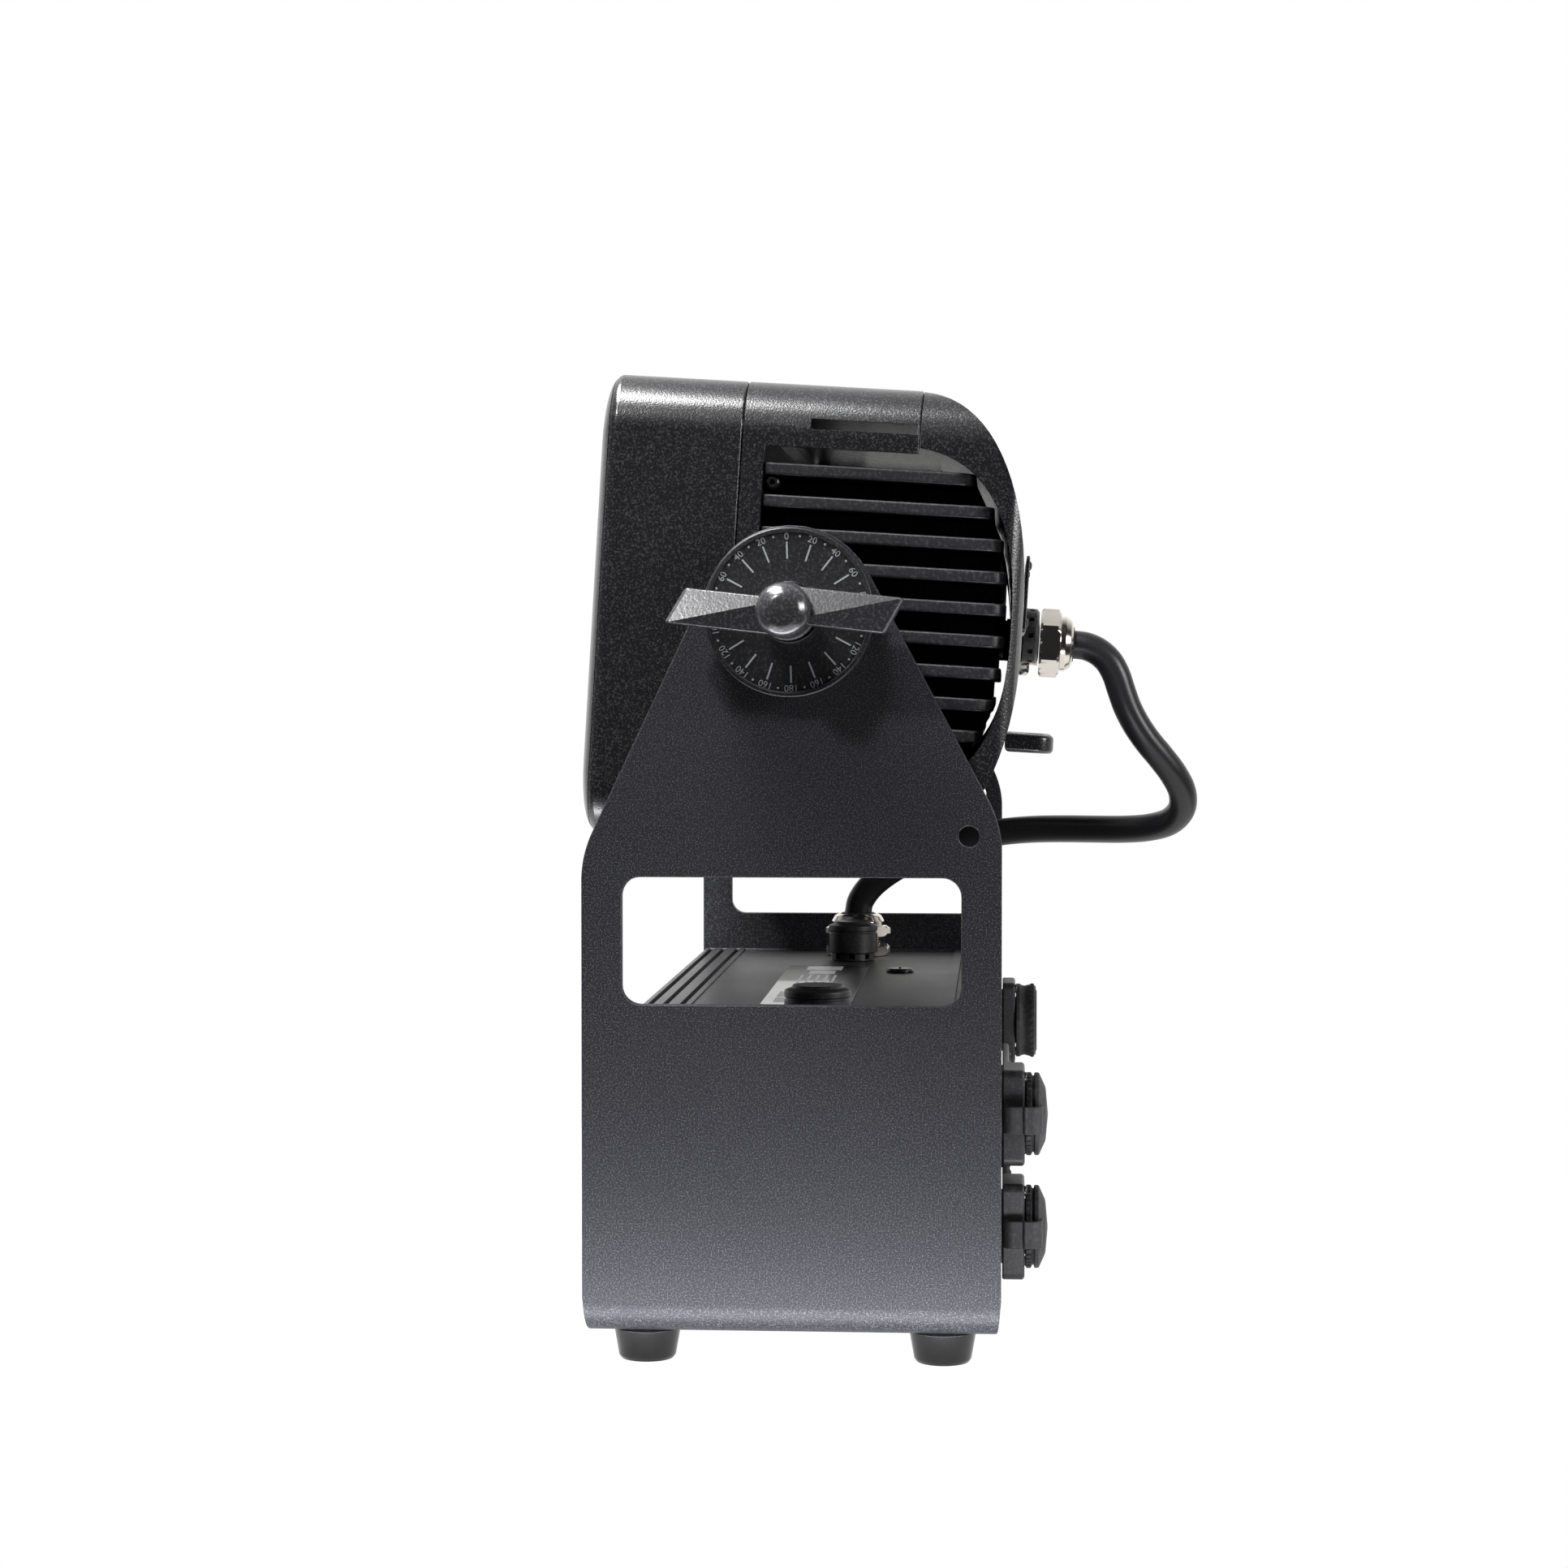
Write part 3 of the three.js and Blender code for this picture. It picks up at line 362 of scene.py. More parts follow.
def yoke_blank():
    """The plate before bending: u runs along the plate, level 0 is its outer face."""
    def along(height):
        return bend_start + bend_length + height - (base_underside + bend_radius)

    def shoulder(taper):
        run = (arm_half_depth - arm_end_radius * math.cos(taper)) / math.sin(taper)
        return axis_height + arm_end_radius * math.sin(taper) - run * math.cos(taper)

    front, rear = shoulder(front_taper), shoulder(rear_taper)
    slopes = math.tan(front_taper), math.tan(rear_taper)
    apex = (2 * arm_half_depth + front * slopes[0] + rear * slopes[1]) / sum(slopes)
    apex_y = arm_half_depth - (apex - rear) * slopes[1]
    arm = [(bend_start - 1, -base_half_depth, 6), (bend_start + bend_length + 2, -arm_half_depth, 12),
           (along(front), -arm_half_depth, 35), (along(apex), apex_y, arm_end_radius),
           (along(rear), arm_half_depth, 35), (bend_start + bend_length + 2, arm_half_depth, 12),
           (bend_start - 1, base_half_depth, 6)]
    other = [(-u, v, r) for u, v, r in reversed(arm)]
    holes = []
    for side in (1, -1):
        holes += [
            box_outline(side * along(131.5), 0, 19.5, 51.75, 5.8),
            circle(side * along(axis_height), 0, 8.6),
            circle(side * along(163.6), 54, 3.25, 20),
        ]
    return slab([rounded(arm + other, 12), *holes], 0, plate, 0.5)


def bent(mesh):
    work = bmesh.new()
    work.from_mesh(mesh)
    cuts = 8
    for side in (1, -1):
        for k in range(cuts + 1):
            at = side * (bend_start + bend_length * k / cuts)
            bmesh.ops.bisect_plane(work, geom=[*work.verts, *work.edges, *work.faces],
                                   plane_co=(at, 0, 0), plane_no=(1, 0, 0))
    for vert in work.verts:
        u, v, level = vert.co
        side = 1 if u > 0 else -1
        past = abs(u) - bend_start
        radius = bend_radius - level
        turn = min(max(past / bend_length, 0), 1) * math.pi / 2
        x = min(abs(u), bend_start) + radius * math.sin(turn)
        z = base_underside + bend_radius - radius * math.cos(turn) + max(past - bend_length, 0)
        vert.co = (side * x, v, z)
    bmesh.ops.recalc_face_normals(work, faces=work.faces)
    work.to_mesh(mesh)
    work.free()
    return mesh


powder_coat = coated("powder_coat", (0.0095, 0.0098, 0.0135), 0.48, grain=2300, depth=0.0002, speckle=0.06,
                     patches=0.08, specular=0.3)
fitted("yoke_plate", bent(yoke_blank()), powder_coat, "yoke", "yoke_powder_coat", "yoke_bracket", angle=30)

# ---- Feet ----
# Four moulded rubber cones, each held to the plate by a screw in a deep recess in its tread.
foot_height = base_underside - 0.3
TURN_AXES = {
    "x": lambda r, h, turn: (h, r * math.cos(turn), r * math.sin(turn)),
    "y": lambda r, h, turn: (r * math.cos(turn), h, r * math.sin(turn)),
    "z": lambda r, h, turn: (r * math.cos(turn), r * math.sin(turn), h),
}


def turned(profile, axis="z", centre=(0, 0, 0), sides=56, steps=4, closed=False, shape=None):
    """Turned piece: corners (radius, height, rounding) from one end on the axis to the other. Where a
    shape is given, it says how far out each direction reaches at most."""
    loops = []
    for r, h in rounded(profile, steps, closed):
        if r > 1e-6:
            turns = [2 * math.pi * k / sides for k in range(sides)]
            reach = [min(r, shape(turn, h)) if shape else r for turn in turns]
            loops.append([Vector(centre) + Vector(TURN_AXES[axis](far, h, turn)) for far, turn in zip(reach, turns)])
    return lofted(loops, closed)


def together(*meshes):
    work = bmesh.new()
    for mesh in meshes:
        work.from_mesh(mesh)
    joined = bpy.data.meshes.new("together")
    work.to_mesh(joined)
    work.free()
    return joined


def moved(mesh, x=0, y=0, z=0, turn=None):
    copy = mesh.copy()
    copy.transform(Matrix.Translation((x, y, z)) @ (turn or Matrix.Identity(4)))
    return copy


def hexagon(across, low=-1e9, high=1e9):
    """Reach of a hexagon between two heights, for turned()."""
    def reach(turn, h):
        if not low <= h <= high:
            return 1e9
        return across / 2 / math.cos((turn + math.pi / 6) % (math.pi / 3) - math.pi / 6)
    return reach


def screw(radius, height):
    """Button-head screw with a hexagon socket, standing on its seat, pointing up."""
    key = radius * 0.5
    outer = [(radius, -0.4), (radius, height * 0.35, 0.3), (radius * 0.72, height, radius * 0.6),
             (key * 1.25, height)]
    loops = []
    sides = 24
    for r, h in rounded(outer, 3, closed=False):
        loops.append([Vector((r * math.cos(2 * math.pi * k / sides), r * math.sin(2 * math.pi * k / sides), h))
                      for k in range(sides)])
    socket = hexagon(key * 1.8)
    for h in (height - 0.15, height * 0.25):
        loops.append([Vector((socket(2 * math.pi * k / sides, h) * math.cos(2 * math.pi * k / sides),
                              socket(2 * math.pi * k / sides, h) * math.sin(2 * math.pi * k / sides), h))
                      for k in range(sides)])
    return lofted(loops)


foot_rubber = coated("foot_rubber", (0.009, 0.009, 0.010), 0.24, grain=500, depth=0.00004, speckle=0.004,
                     patches=0.3)
dark_zinc = coated("dark_zinc", (0.05, 0.05, 0.055), 0.35, grain=1200, depth=0.00002, metal=1.0, speckle=0.04)
foot_blank = turned([(3.8, 5), (3.8, 0, 0.6), (8.1, 0, 0.8), (8.9, 1.2, 1), (10.4, foot_height - 1, 0.5),
                     (9.8, foot_height, 0.3), (1, foot_height)], steps=5)
for name in ("foot_front_left", "foot_front_right", "foot_rear_left", "foot_rear_right"):
    low, high = (AT_YOKE.inverted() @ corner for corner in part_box(name))
    x, y = (low.x + high.x) / 2, (low.y + high.y) / 2
    fitted(f"{name}_cone", moved(foot_blank, x, y), foot_rubber, "yoke", "foot_rubber", name)
    fitted(f"{name}_screw", moved(screw(3.3, 2.2), x, y, 4.9, Matrix.Rotation(math.pi, 4, "X")), dark_zinc,
           "yoke", "stud_steel")

# ---- Driver housing ----
# A black-coated aluminium extrusion along X. Three grooves run along each edge of its top, and the
# deck between them lies a little lower. Two cast plates close the ends, each held by four screws.
ALONG_X = Matrix(((0, 0, 1, 0), (1, 0, 0, 0), (0, 1, 0, 0), (0, 0, 0, 1)))
ALONG_Y = Matrix(((1, 0, 0, 0), (0, 0, -1, 0), (0, 1, 0, 0), (0, 0, 0, 1)))
housing_end = 187.5
housing_low, housing_high = 16.3, 97.4
deck = 96.8
housing_half_depth = 63.5
sockets = {"dmx_in": (128, 70.2), "dmx_out": (128, 33.4), "power_in": (-69, 80), "power_out": (-69, 43)}
panel_x, panel_z = 40, 58


def slab_x(outlines, low, high, edge, steps=2):
    mesh = slab(outlines, low, high, edge, steps)
    mesh.transform(ALONG_X)
    return mesh


def slab_y(outlines, low, high, edge, steps=2):
    mesh = slab(outlines, -high, -low, edge, steps)
    mesh.transform(ALONG_Y)
    return mesh


def shaped(mesh, *tools, how="DIFFERENCE"):
    """Cuts tools out of a mesh, or joins them to it."""
    blank = new_object("blank", mesh)
    helpers = [new_object("tool", tool) for tool in tools]
    for helper in helpers:
        step = blank.modifiers.new("step", "BOOLEAN")
        step.operation = how
        step.solver = "EXACT"
        step.object = helper
    made = bpy.data.meshes.new_from_object(blank.evaluated_get(bpy.context.evaluated_depsgraph_get()))
    for helper in (blank, *helpers):
        bpy.data.objects.remove(helper)
    return made


def softened(mesh, width, steps=2, angle=38):
    """Rounds off every sharp edge."""
    work = bmesh.new()
    work.from_mesh(mesh)
    bmesh.ops.remove_doubles(work, verts=work.verts, dist=1e-3)
    bmesh.ops.dissolve_limit(work, angle_limit=math.radians(0.6), verts=work.verts, edges=work.edges)
    flat = bpy.data.meshes.new("softened")
    work.to_mesh(flat)
    work.free()
    blank = new_object("blank", flat)
    edge = blank.modifiers.new("edge", "BEVEL")
    edge.width = width
    edge.segments = steps
    edge.limit_method = "ANGLE"
    edge.angle_limit = math.radians(angle)
    edge.use_clamp_overlap = True
    made = bpy.data.meshes.new_from_object(blank.evaluated_get(bpy.context.evaluated_depsgraph_get()))
    bpy.data.objects.remove(blank)
    return made


def repeat_in_rows():
    """Node tree: copies of the incoming mesh in columns and rows."""
    tree = bpy.data.node_groups.new("repeat_in_rows", "GeometryNodeTree")
    for label, kind in (("Geometry", "Geometry"), ("Columns", "Int"), ("Column Step", "Vector"), ("Rows", "Int"),
                        ("Row Step", "Vector"), ("Finish", "Material")):
        tree.interface.new_socket(label, in_out="INPUT", socket_type=f"NodeSocket{kind}")
    tree.interface.new_socket("Geometry", in_out="OUTPUT", socket_type="NodeSocketGeometry")
    nodes, links = tree.nodes, tree.links
    given = nodes.new("NodeGroupInput")
    line = {}
    for label in ("Column", "Row"):
        line[label] = nodes.new("GeometryNodeMeshLine")
        links.new(given.outputs[f"{label}s"], line[label].inputs["Count"])
        links.new(given.outputs[f"{label} Step"], line[label].inputs["Offset"])
    grid = nodes.new("GeometryNodeInstanceOnPoints")
    links.new(line["Column"].outputs["Mesh"], grid.inputs["Points"])
    links.new(line["Row"].outputs["Mesh"], grid.inputs["Instance"])
    spots = nodes.new("GeometryNodeRealizeInstances")
    links.new(grid.outputs["Instances"], spots.inputs["Geometry"])
    copies = nodes.new("GeometryNodeInstanceOnPoints")
    links.new(spots.outputs["Geometry"], copies.inputs["Points"])
    links.new(given.outputs["Geometry"], copies.inputs["Instance"])
    return finished_tree(tree, copies.outputs["Instances"], given)


def finished_tree(tree, copies, given):
    nodes, links = tree.nodes, tree.links
    real = nodes.new("GeometryNodeRealizeInstances")
    links.new(copies, real.inputs["Geometry"])
    paint = nodes.new("GeometryNodeSetMaterial")
    links.new(real.outputs["Geometry"], paint.inputs["Geometry"])
    links.new(given.outputs["Finish"], paint.inputs["Material"])
    result = nodes.new("NodeGroupOutput")
    links.new(paint.outputs["Geometry"], result.inputs["Geometry"])
    return tree


def repeated(mesh, tree, **sizes):
    """The plain mesh that a tree makes of one piece. A name's underscores stand for spaces."""
    blank = new_object("blank", mesh)
    step = blank.modifiers.new("repeat", "NODES")
    step.node_group = tree
    labels = {label.replace("_", " "): value for label, value in sizes.items()}
    for socket in tree.interface.items_tree:
        if socket.in_out == "INPUT" and socket.name in labels:
            step[socket.identifier] = labels[socket.name]
    made = bpy.data.meshes.new_from_object(blank.evaluated_get(bpy.context.evaluated_depsgraph_get()))
    bpy.data.objects.remove(blank)
    return made


rows = repeat_in_rows()
housing_coat = coated("housing_coat", (0.020, 0.020, 0.023), 0.42, grain=1100, depth=0.00007, speckle=0.045,
                      patches=0.15)
groove_depth = 1.6
top_line = []
for middle in (59.4, 54.2, 48.2):
    top_line += [(middle + 1, housing_high), (middle + 1, housing_high - groove_depth),
                 (middle - 1, housing_high - groove_depth), (middle - 1, housing_high)]
mirror_line = [(-y, z) for y, z in reversed(top_line)]
extrusion = slab_x([
    rounded([(-housing_half_depth, housing_low, 2.5), (housing_half_depth, housing_low, 2.5),
             (housing_half_depth, housing_high, 2.5), *top_line, (44, housing_high), (44, deck), (-45.2, deck),
             (-45.2, housing_high), *mirror_line, (-housing_half_depth, housing_high, 2.5)], 6),
    box_outline(0, 57.3, 60.2, 36.2, 1),
], -housing_end, housing_end, 0.25)
rear_holes = [turned([(12.3, 50), (12.3, 70)], "y", (x, 0, z)) for x, z in sockets.values()]
stem_holes = [turned([(radius, 85), (radius, 100)], "z", (x, y, 0), 32)
              for x, y, radius in ((-140, 3, 6.3), (139, 4.7, 6.3), (-163, 4, 8.3), (-86, 24, 4.8))]
panel_hole = slab_y([box_outline(panel_x, panel_z, 36, 17, 2)], 50, 70, 0.05)
fitted("housing_extrusion", shaped(extrusion, *rear_holes, *stem_holes, panel_hole), housing_coat, "yoke",
       "housing_coat", "driver_housing", angle=30)

cover_screw = screw(2.9, 1.7)
TO_RIGHT = Matrix.Rotation(math.pi / 2, 4, "Y")
TO_LEFT = Matrix.Rotation(-math.pi / 2, 4, "Y")
end_face = housing_end + 0.3
for side, turn in ((-1, TO_LEFT), (1, TO_RIGHT)):
    label = "right" if side > 0 else "left"
    span = sorted((side * end_face, side * (end_face + 3)))
    cover = slab_x([box_outline(0, (housing_low + housing_high) / 2, housing_half_depth,
                                (housing_high - housing_low) / 2, 2.5)], *span, 0.5)
    fitted(f"end_cover_{label}", cover, housing_coat, "yoke", "housing_coat", f"housing_end_{label}")
    corner = moved(cover_screw, side * (end_face + 3), -54, 28, turn)
    fitted(f"end_cover_screws_{label}", repeated(corner, rows, Columns=2, Column_Step=(0, 108, 0), Rows=2,
                                                 Row_Step=(0, 0, 60), Finish=dark_zinc),
           dark_zinc, "yoke", "stud_steel")

# ---- Circuit boards ----
# The power supply, the driver and the control electronics, each on its own green board, with the
# transformers, coils and chips as low blocks. They're seen only through the openings.
board_green = coated("board_green", (0.02, 0.09, 0.045), 0.4, grain=160, depth=0.00003, speckle=0.08)


def copied(node):
    """A CAD node's own shape in millimetres about the yoke, with its loose triangles joined."""
    mesh = frame["nodes"][node].data.copy()
    mesh.transform(AT_YOKE.inverted() @ frame["nodes"][node].matrix_world)
    return facing_out(mesh, 1e-3)


for node, body in (("power_supply", "yoke"), ("driver_board", "yoke"), ("control_board", "yoke"),
                   ("led_board", "head")):
    fitted(f"{node}_assembly", softened(copied(node), 0.35), board_green, body, "circuit_board", node)

# ---- Rear sockets ----
# Four flanged panel sockets of the common 26 by 31 mm size, two for data and two for power, each
# screwed on at two opposite corners. Black moulded shells with contacts deep in a round bore.
rear_face = 64.3
data_face, power_face = 71.5, 69.2
flange_x, flange_z = 13, 15.5
moulded_black = coated("moulded_black", (0.016, 0.016, 0.018), 0.45, grain=900, depth=0.00008, speckle=0.02)
contact_gold = coated("contact_gold", (0.75, 0.58, 0.28), 0.3, metal=1.0)


def nested(path, x=0, z=0, closed=False, steps=8):
    """Solid through rounded rectangles (half width, half height, corner, y), from back to front."""
    loops = [[Vector((u, y, v)) for u, v in box_outline(x, z, half_x, half_z, min(corner, half_x, half_z), steps)]
             for half_x, half_z, corner, y in path]
    return lofted(loops, closed)


def repeat_round():
    """Node tree: copies of the incoming mesh turned about an axis through the origin, then moved."""
    tree = bpy.data.node_groups.new("repeat_round", "GeometryNodeTree")
    for label, kind in (("Geometry", "Geometry"), ("Count", "Int"), ("Axis", "Vector"), ("Step Angle", "Float"),
                        ("Centre", "Vector"), ("Finish", "Material")):
        tree.interface.new_socket(label, in_out="INPUT", socket_type=f"NodeSocket{kind}")
    tree.interface.new_socket("Geometry", in_out="OUTPUT", socket_type="NodeSocketGeometry")
    nodes, links = tree.nodes, tree.links
    given = nodes.new("NodeGroupInput")
    spots = nodes.new("GeometryNodeMeshLine")
    spots.inputs["Offset"].default_value = (0, 0, 0)
    links.new(given.outputs["Count"], spots.inputs["Count"])
    links.new(given.outputs["Centre"], spots.inputs["Start Location"])
    index = nodes.new("GeometryNodeInputIndex")
    angle = nodes.new("ShaderNodeMath")
    angle.operation = "MULTIPLY"
    links.new(index.outputs["Index"], angle.inputs[0])
    links.new(given.outputs["Step Angle"], angle.inputs[1])
    turn = nodes.new("FunctionNodeAxisAngleToRotation")
    links.new(given.outputs["Axis"], turn.inputs["Axis"])
    links.new(angle.outputs[0], turn.inputs["Angle"])
    copies = nodes.new("GeometryNodeInstanceOnPoints")
    links.new(spots.outputs["Mesh"], copies.inputs["Points"])
    links.new(given.outputs["Geometry"], copies.inputs["Instance"])
    links.new(turn.outputs["Rotation"], copies.inputs["Rotation"])
    return finished_tree(tree, copies.outputs["Instances"], given)


around = repeat_round()
TO_BACK = Matrix.Rotation(-math.pi / 2, 4, "X")
flange_screw = screw(1.7, 1.2)
screw_x, screw_z = 10.6, 13.2  # near the corners of the flange, clear of the caps
for name, (x, z) in sockets.items():
    face = data_face if name.startswith("dmx") else power_face
    shell = nested([
        (12, 12, 12, 46), (12, 12, 12, rear_face), (flange_x - 0.4, flange_z - 0.4, 2.4, rear_face),
        (flange_x, flange_z, 2.5, rear_face + 0.5), (flange_x, flange_z, 2.5, face - 0.9),
        (flange_x - 0.3, flange_z - 0.3, 2.3, face - 0.3), (flange_x - 0.9, flange_z - 0.9, 2, face),
        (10.2, 10.2, 10.2, face), (9.6, 9.6, 9.6, face - 0.6), (9.6, 9.6, 9.6, 57),
    ], x, z)
    fitted(f"{name}_shell", shell, moulded_black, "yoke", "black_plastic", f"{name}_socket")
    corner = moved(flange_screw, x - screw_x, face - 0.2, z - screw_z, TO_BACK)
    fitted(f"{name}_flange_screws", repeated(corner, rows, Columns=2, Column_Step=(2 * screw_x, 0, 2 * screw_z), Rows=1,
                                             Finish=dark_zinc), dark_zinc, "yoke", "stud_steel")
    pin = moved(turned([(1.2, 56.5), (1.2, 62.5, 0.8), (0.2, 62.5)], "y", sides=16), z=5.2)
    pins = repeated(pin, around, Count=3, Axis=(0, 1, 0), Step_Angle=2 * math.pi / 3, Centre=(x, 0, z),
                    Finish=contact_gold)
    fitted(f"{name}_contacts", pins, contact_gold, "yoke", "nickel_brass")

# ---- Socket caps ----
# Soft rubber plugs keep rain out of the sockets. The data caps hang on a moulded strap that starts
# under the flange and folds beside it; the power caps twist off. Ribs round the rims give grip.
matt_rubber = coated("matt_rubber", (0.022, 0.022, 0.024), 0.62, grain=700, depth=0.0001, speckle=0.02,
                     patches=0.1)
strap_x = 17
strap_half_height = 4.4


def band(line, thickness):
    """Outline of a strap of even thickness that follows an open line."""
    left, right = [], []
    for i, point in enumerate(line):
        ahead = (line[min(i + 1, len(line) - 1)] - line[max(i - 1, 0)]).normalized() * thickness / 2
        left.append(point + Vector((-ahead.y, ahead.x)))
        right.append(point - Vector((-ahead.y, ahead.x)))
    return left + right[::-1]


for name, (x, z) in sockets.items():
    if name.startswith("dmx"):
        disc = turned([
            (1, -2.6), (8.4, -2.6, 0.5), (9, -2, 0.4), (9, 0.3), (13.1, 0.3, 0.3), (13.1, 2.3, 0.3), (12.4, 2.5),
            (12.4, 3, 0.2), (13.4, 3.2, 0.3), (13.4, 4.6, 0.6), (8.6, 6.8, 5), (0.8, 7.5),
        ], "y", (x, data_face, z))
        rib = moved(softened(slab([box_outline(0, 0, 0.35, 0.45, 0.1, 2)], 0.6, 2.1, 0.05, 1), 0.05),
                    turn=TO_BACK)
        rib = moved(rib, x=13.1)
        ribs = repeated(rib, around, Count=40, Axis=(0, 1, 0), Step_Angle=2 * math.pi / 40,
                        Centre=(x, data_face, z), Finish=matt_rubber)
        fold = rounded([(x + strap_x, 71.6), (x + strap_x, 76.3, 2.6), (x + 6, 76.6)], 8, closed=False)
        strap = slab([band(fold, 1.7)], z - strap_half_height, z + strap_half_height, 0.3)
        knuckle = slab([circle(x + strap_x, 71.8, 0.95, 16)], z - strap_half_height, z + strap_half_height, 0.2)
        fitted(f"{name}_cover", together(disc, ribs, strap, knuckle), matt_rubber, f"{name}_cover", "cap_rubber",
               f"{name}_cap")
        anchor = rounded([(x + flange_x - 2, 65.3), (x + strap_x, 65.3, 2.4), (x + strap_x, 70.75)], 8, closed=False)
        fitted(f"{name}_strap", slab([band(anchor, 1.7)], z - strap_half_height, z + strap_half_height, 0.3),
               matt_rubber, "yoke", "cap_rubber")
    else:
        disc = turned([
            (1, -2.6), (8.4, -2.6, 0.5), (9, -2, 0.4), (9, 0.3), (14.1, 0.3, 0.3), (14.1, 1.6, 0.4), (13.2, 3.2, 2.5),
            (13.9, 5.7, 0.4), (13.9, 7.1, 0.5), (12.8, 8.1, 0.6), (11.6, 7.2, 0.6), (0.8, 7.2),
        ], "y", (x, power_face, z))
        grip = slab_y([box_outline(x, z, 2.2, 11.8, 1.4)], power_face + 6.6, power_face + 8.3, 0.5)
        rib = moved(slab([box_outline(0, 0, 0.5, 0.5, 0.2, 2)], 5.9, 7.2, 0.1, 1), turn=TO_BACK)
        rib = moved(rib, x=13.7)
        ribs = repeated(rib, around, Count=30, Axis=(0, 1, 0), Step_Angle=2 * math.pi / 30,
                        Centre=(x, power_face, z), Finish=matt_rubber)
        fitted(f"{name}_cover", together(disc, grip, ribs), matt_rubber, f"{name}_cover", "cap_rubber",
               f"{name}_cap")

# ---- Control panel ----
# A moulded bezel on the back of the housing, with a dark display window over four rubber keys. The
# display shows plain digits, and small raised arrows mark the middle keys.
panel_face = rear_face + 2.2
display_z = panel_z + 8
key_z = panel_z - 11
key_pitch = 16
key_first = panel_x - 1.5 * key_pitch
display_glass = coated("display_glass", (0.012, 0.016, 0.022), 0.07, patches=0.4, coat=0.5)
digit_light, _, digit_shader = node_material("digit_light")
digit_shader.inputs["Base Color"].default_value = (0.1, 0.3, 0.5, 1)
digit_shader.inputs["Emission Color"].default_value = (0.25, 0.7, 1, 1)
digit_shader.inputs["Emission Strength"].default_value = 0.8
key_holes = [circle(key_first + i * key_pitch, key_z, 4.6, 32) for i in range(4)]
bezel_plate = slab_y([box_outline(panel_x, panel_z, 40, 21, 4), box_outline(panel_x, display_z, 22, 7.5, 1.5),
                      *key_holes], rear_face, panel_face, 0.6)
rim = nested([(39.2, 20.2, 3.4, panel_face - 0.2), (39.2, 20.2, 3.4, panel_face + 0.35),
              (38.4, 19.4, 3, panel_face + 0.35), (38.4, 19.4, 3, panel_face - 0.2)], panel_x, panel_z, closed=True)
fitted("control_bezel", together(bezel_plate, rim), moulded_black, "yoke", "black_plastic", "control_panel")
panel_screws = repeated(moved(screw(2, 1), panel_x - 35, panel_face - 0.1, panel_z - 16, TO_BACK), rows, Columns=2,
                        Column_Step=(70, 0, 0), Rows=2, Row_Step=(0, 0, 32), Finish=dark_zinc)
fitted("panel_screws", panel_screws, dark_zinc, "yoke", "stud_steel")
window = nested([(21.6, 7.1, 1.2, 62.4), (21.6, 7.1, 1.2, panel_face - 0.8), (21.3, 6.8, 1, panel_face - 0.6)],
                panel_x, display_z)
fitted("display_window", window, display_glass, "yoke", "display_glass", "display")


def lettering(text, size, thickness=0.12):
    """Text as a flat solid, centred, reading along +u with its top towards +v."""
    font = bpy.data.curves.new("lettering", "FONT")
    font.body = text
    font.size = size
    font.align_x = "CENTER"
    font.align_y = "CENTER"
    font.extrude = thickness / 2
    font.resolution_u = 3
    drawn = new_object("lettering", font)
    mesh = bpy.data.meshes.new_from_object(drawn.evaluated_get(bpy.context.evaluated_depsgraph_get()))
    bpy.data.objects.remove(drawn)
    return mesh


READ_FROM_BACK = Matrix(((-1, 0, 0, 0), (0, 0, 1, 0), (0, 1, 0, 0), (0, 0, 0, 1)))
digits = lettering("0 0 1", 9)
digits.transform(Matrix.Translation((panel_x, panel_face - 0.58, display_z)) @ READ_FROM_BACK)
fitted("display_digits", facing_out(digits, 1e-3), digit_light, "yoke", "display_glass")
key_profile = [(1, 59.5), (5.2, 59.5, 0.2), (5.2, 61, 0.2), (4.15, 61), (4.15, 66.9, 0.5), (3.3, 67.3, 1.5),
               (0.5, 67.1)]
for i, label in enumerate(("menu", "down", "up", "enter")):
    x = key_first + i * key_pitch
    mark = {"menu": (4, 0), "down": (3, 30), "up": (3, -30), "enter": (32, 0)}[label]
    sides, turn = mark
    symbol = slab_y([[Vector((x + 1.7 * math.cos(math.radians(turn) + 2 * math.pi * k / sides),
                              key_z + 1.7 * math.sin(math.radians(turn) + 2 * math.pi * k / sides)))
                      for k in range(sides)]], 66.8, 67.45, 0.1, 1)
    fitted(f"{label}_key", together(turned(key_profile, "y", (x, 0, key_z), 40), symbol), matt_rubber,
           f"{label}_button", "cap_rubber", f"button_{label}")

# ---- Deck fittings ----
# Two moulded pressure vents, a rubber blanking plug, and a printed label that holds only blank
# fields and ruled lines.
vent_places = {"box_vent_left": (-140, 3, 10), "box_vent_right": (139, 4.7, 10.8)}
for name, (x, y, radius) in vent_places.items():
    vent = turned([
        (1, -9), (6, -9), (6, 0.3), (radius - 1.4, 0.3), (radius - 1.4, 3), (radius, 3.4, 0.3),
        (radius, 11.2, 0.3), (radius - 0.45, 11.5), (radius - 0.45, 12.1), (radius, 12.4, 0.3), (radius, 14.4, 0.8),
        (radius - 2.2, 15.2, 0.6), (radius - 2.8, 16.1, 0.3), (0.6, 16.1),
    ], "z", (x, y, deck))
    foot_slot = slab([box_outline(radius - 1.2, 0, 2.6, 1.1, 0.3, 2)], 0.9, 2.9, 0.05, 1)
    slots = repeated(foot_slot, around, Count=8, Axis=(0, 0, 1), Step_Angle=math.pi / 4, Centre=(x, y, deck),
                     Finish=moulded_black)
    fitted(f"{name}_cap", shaped(vent, slots), moulded_black, "yoke", "black_plastic", name)
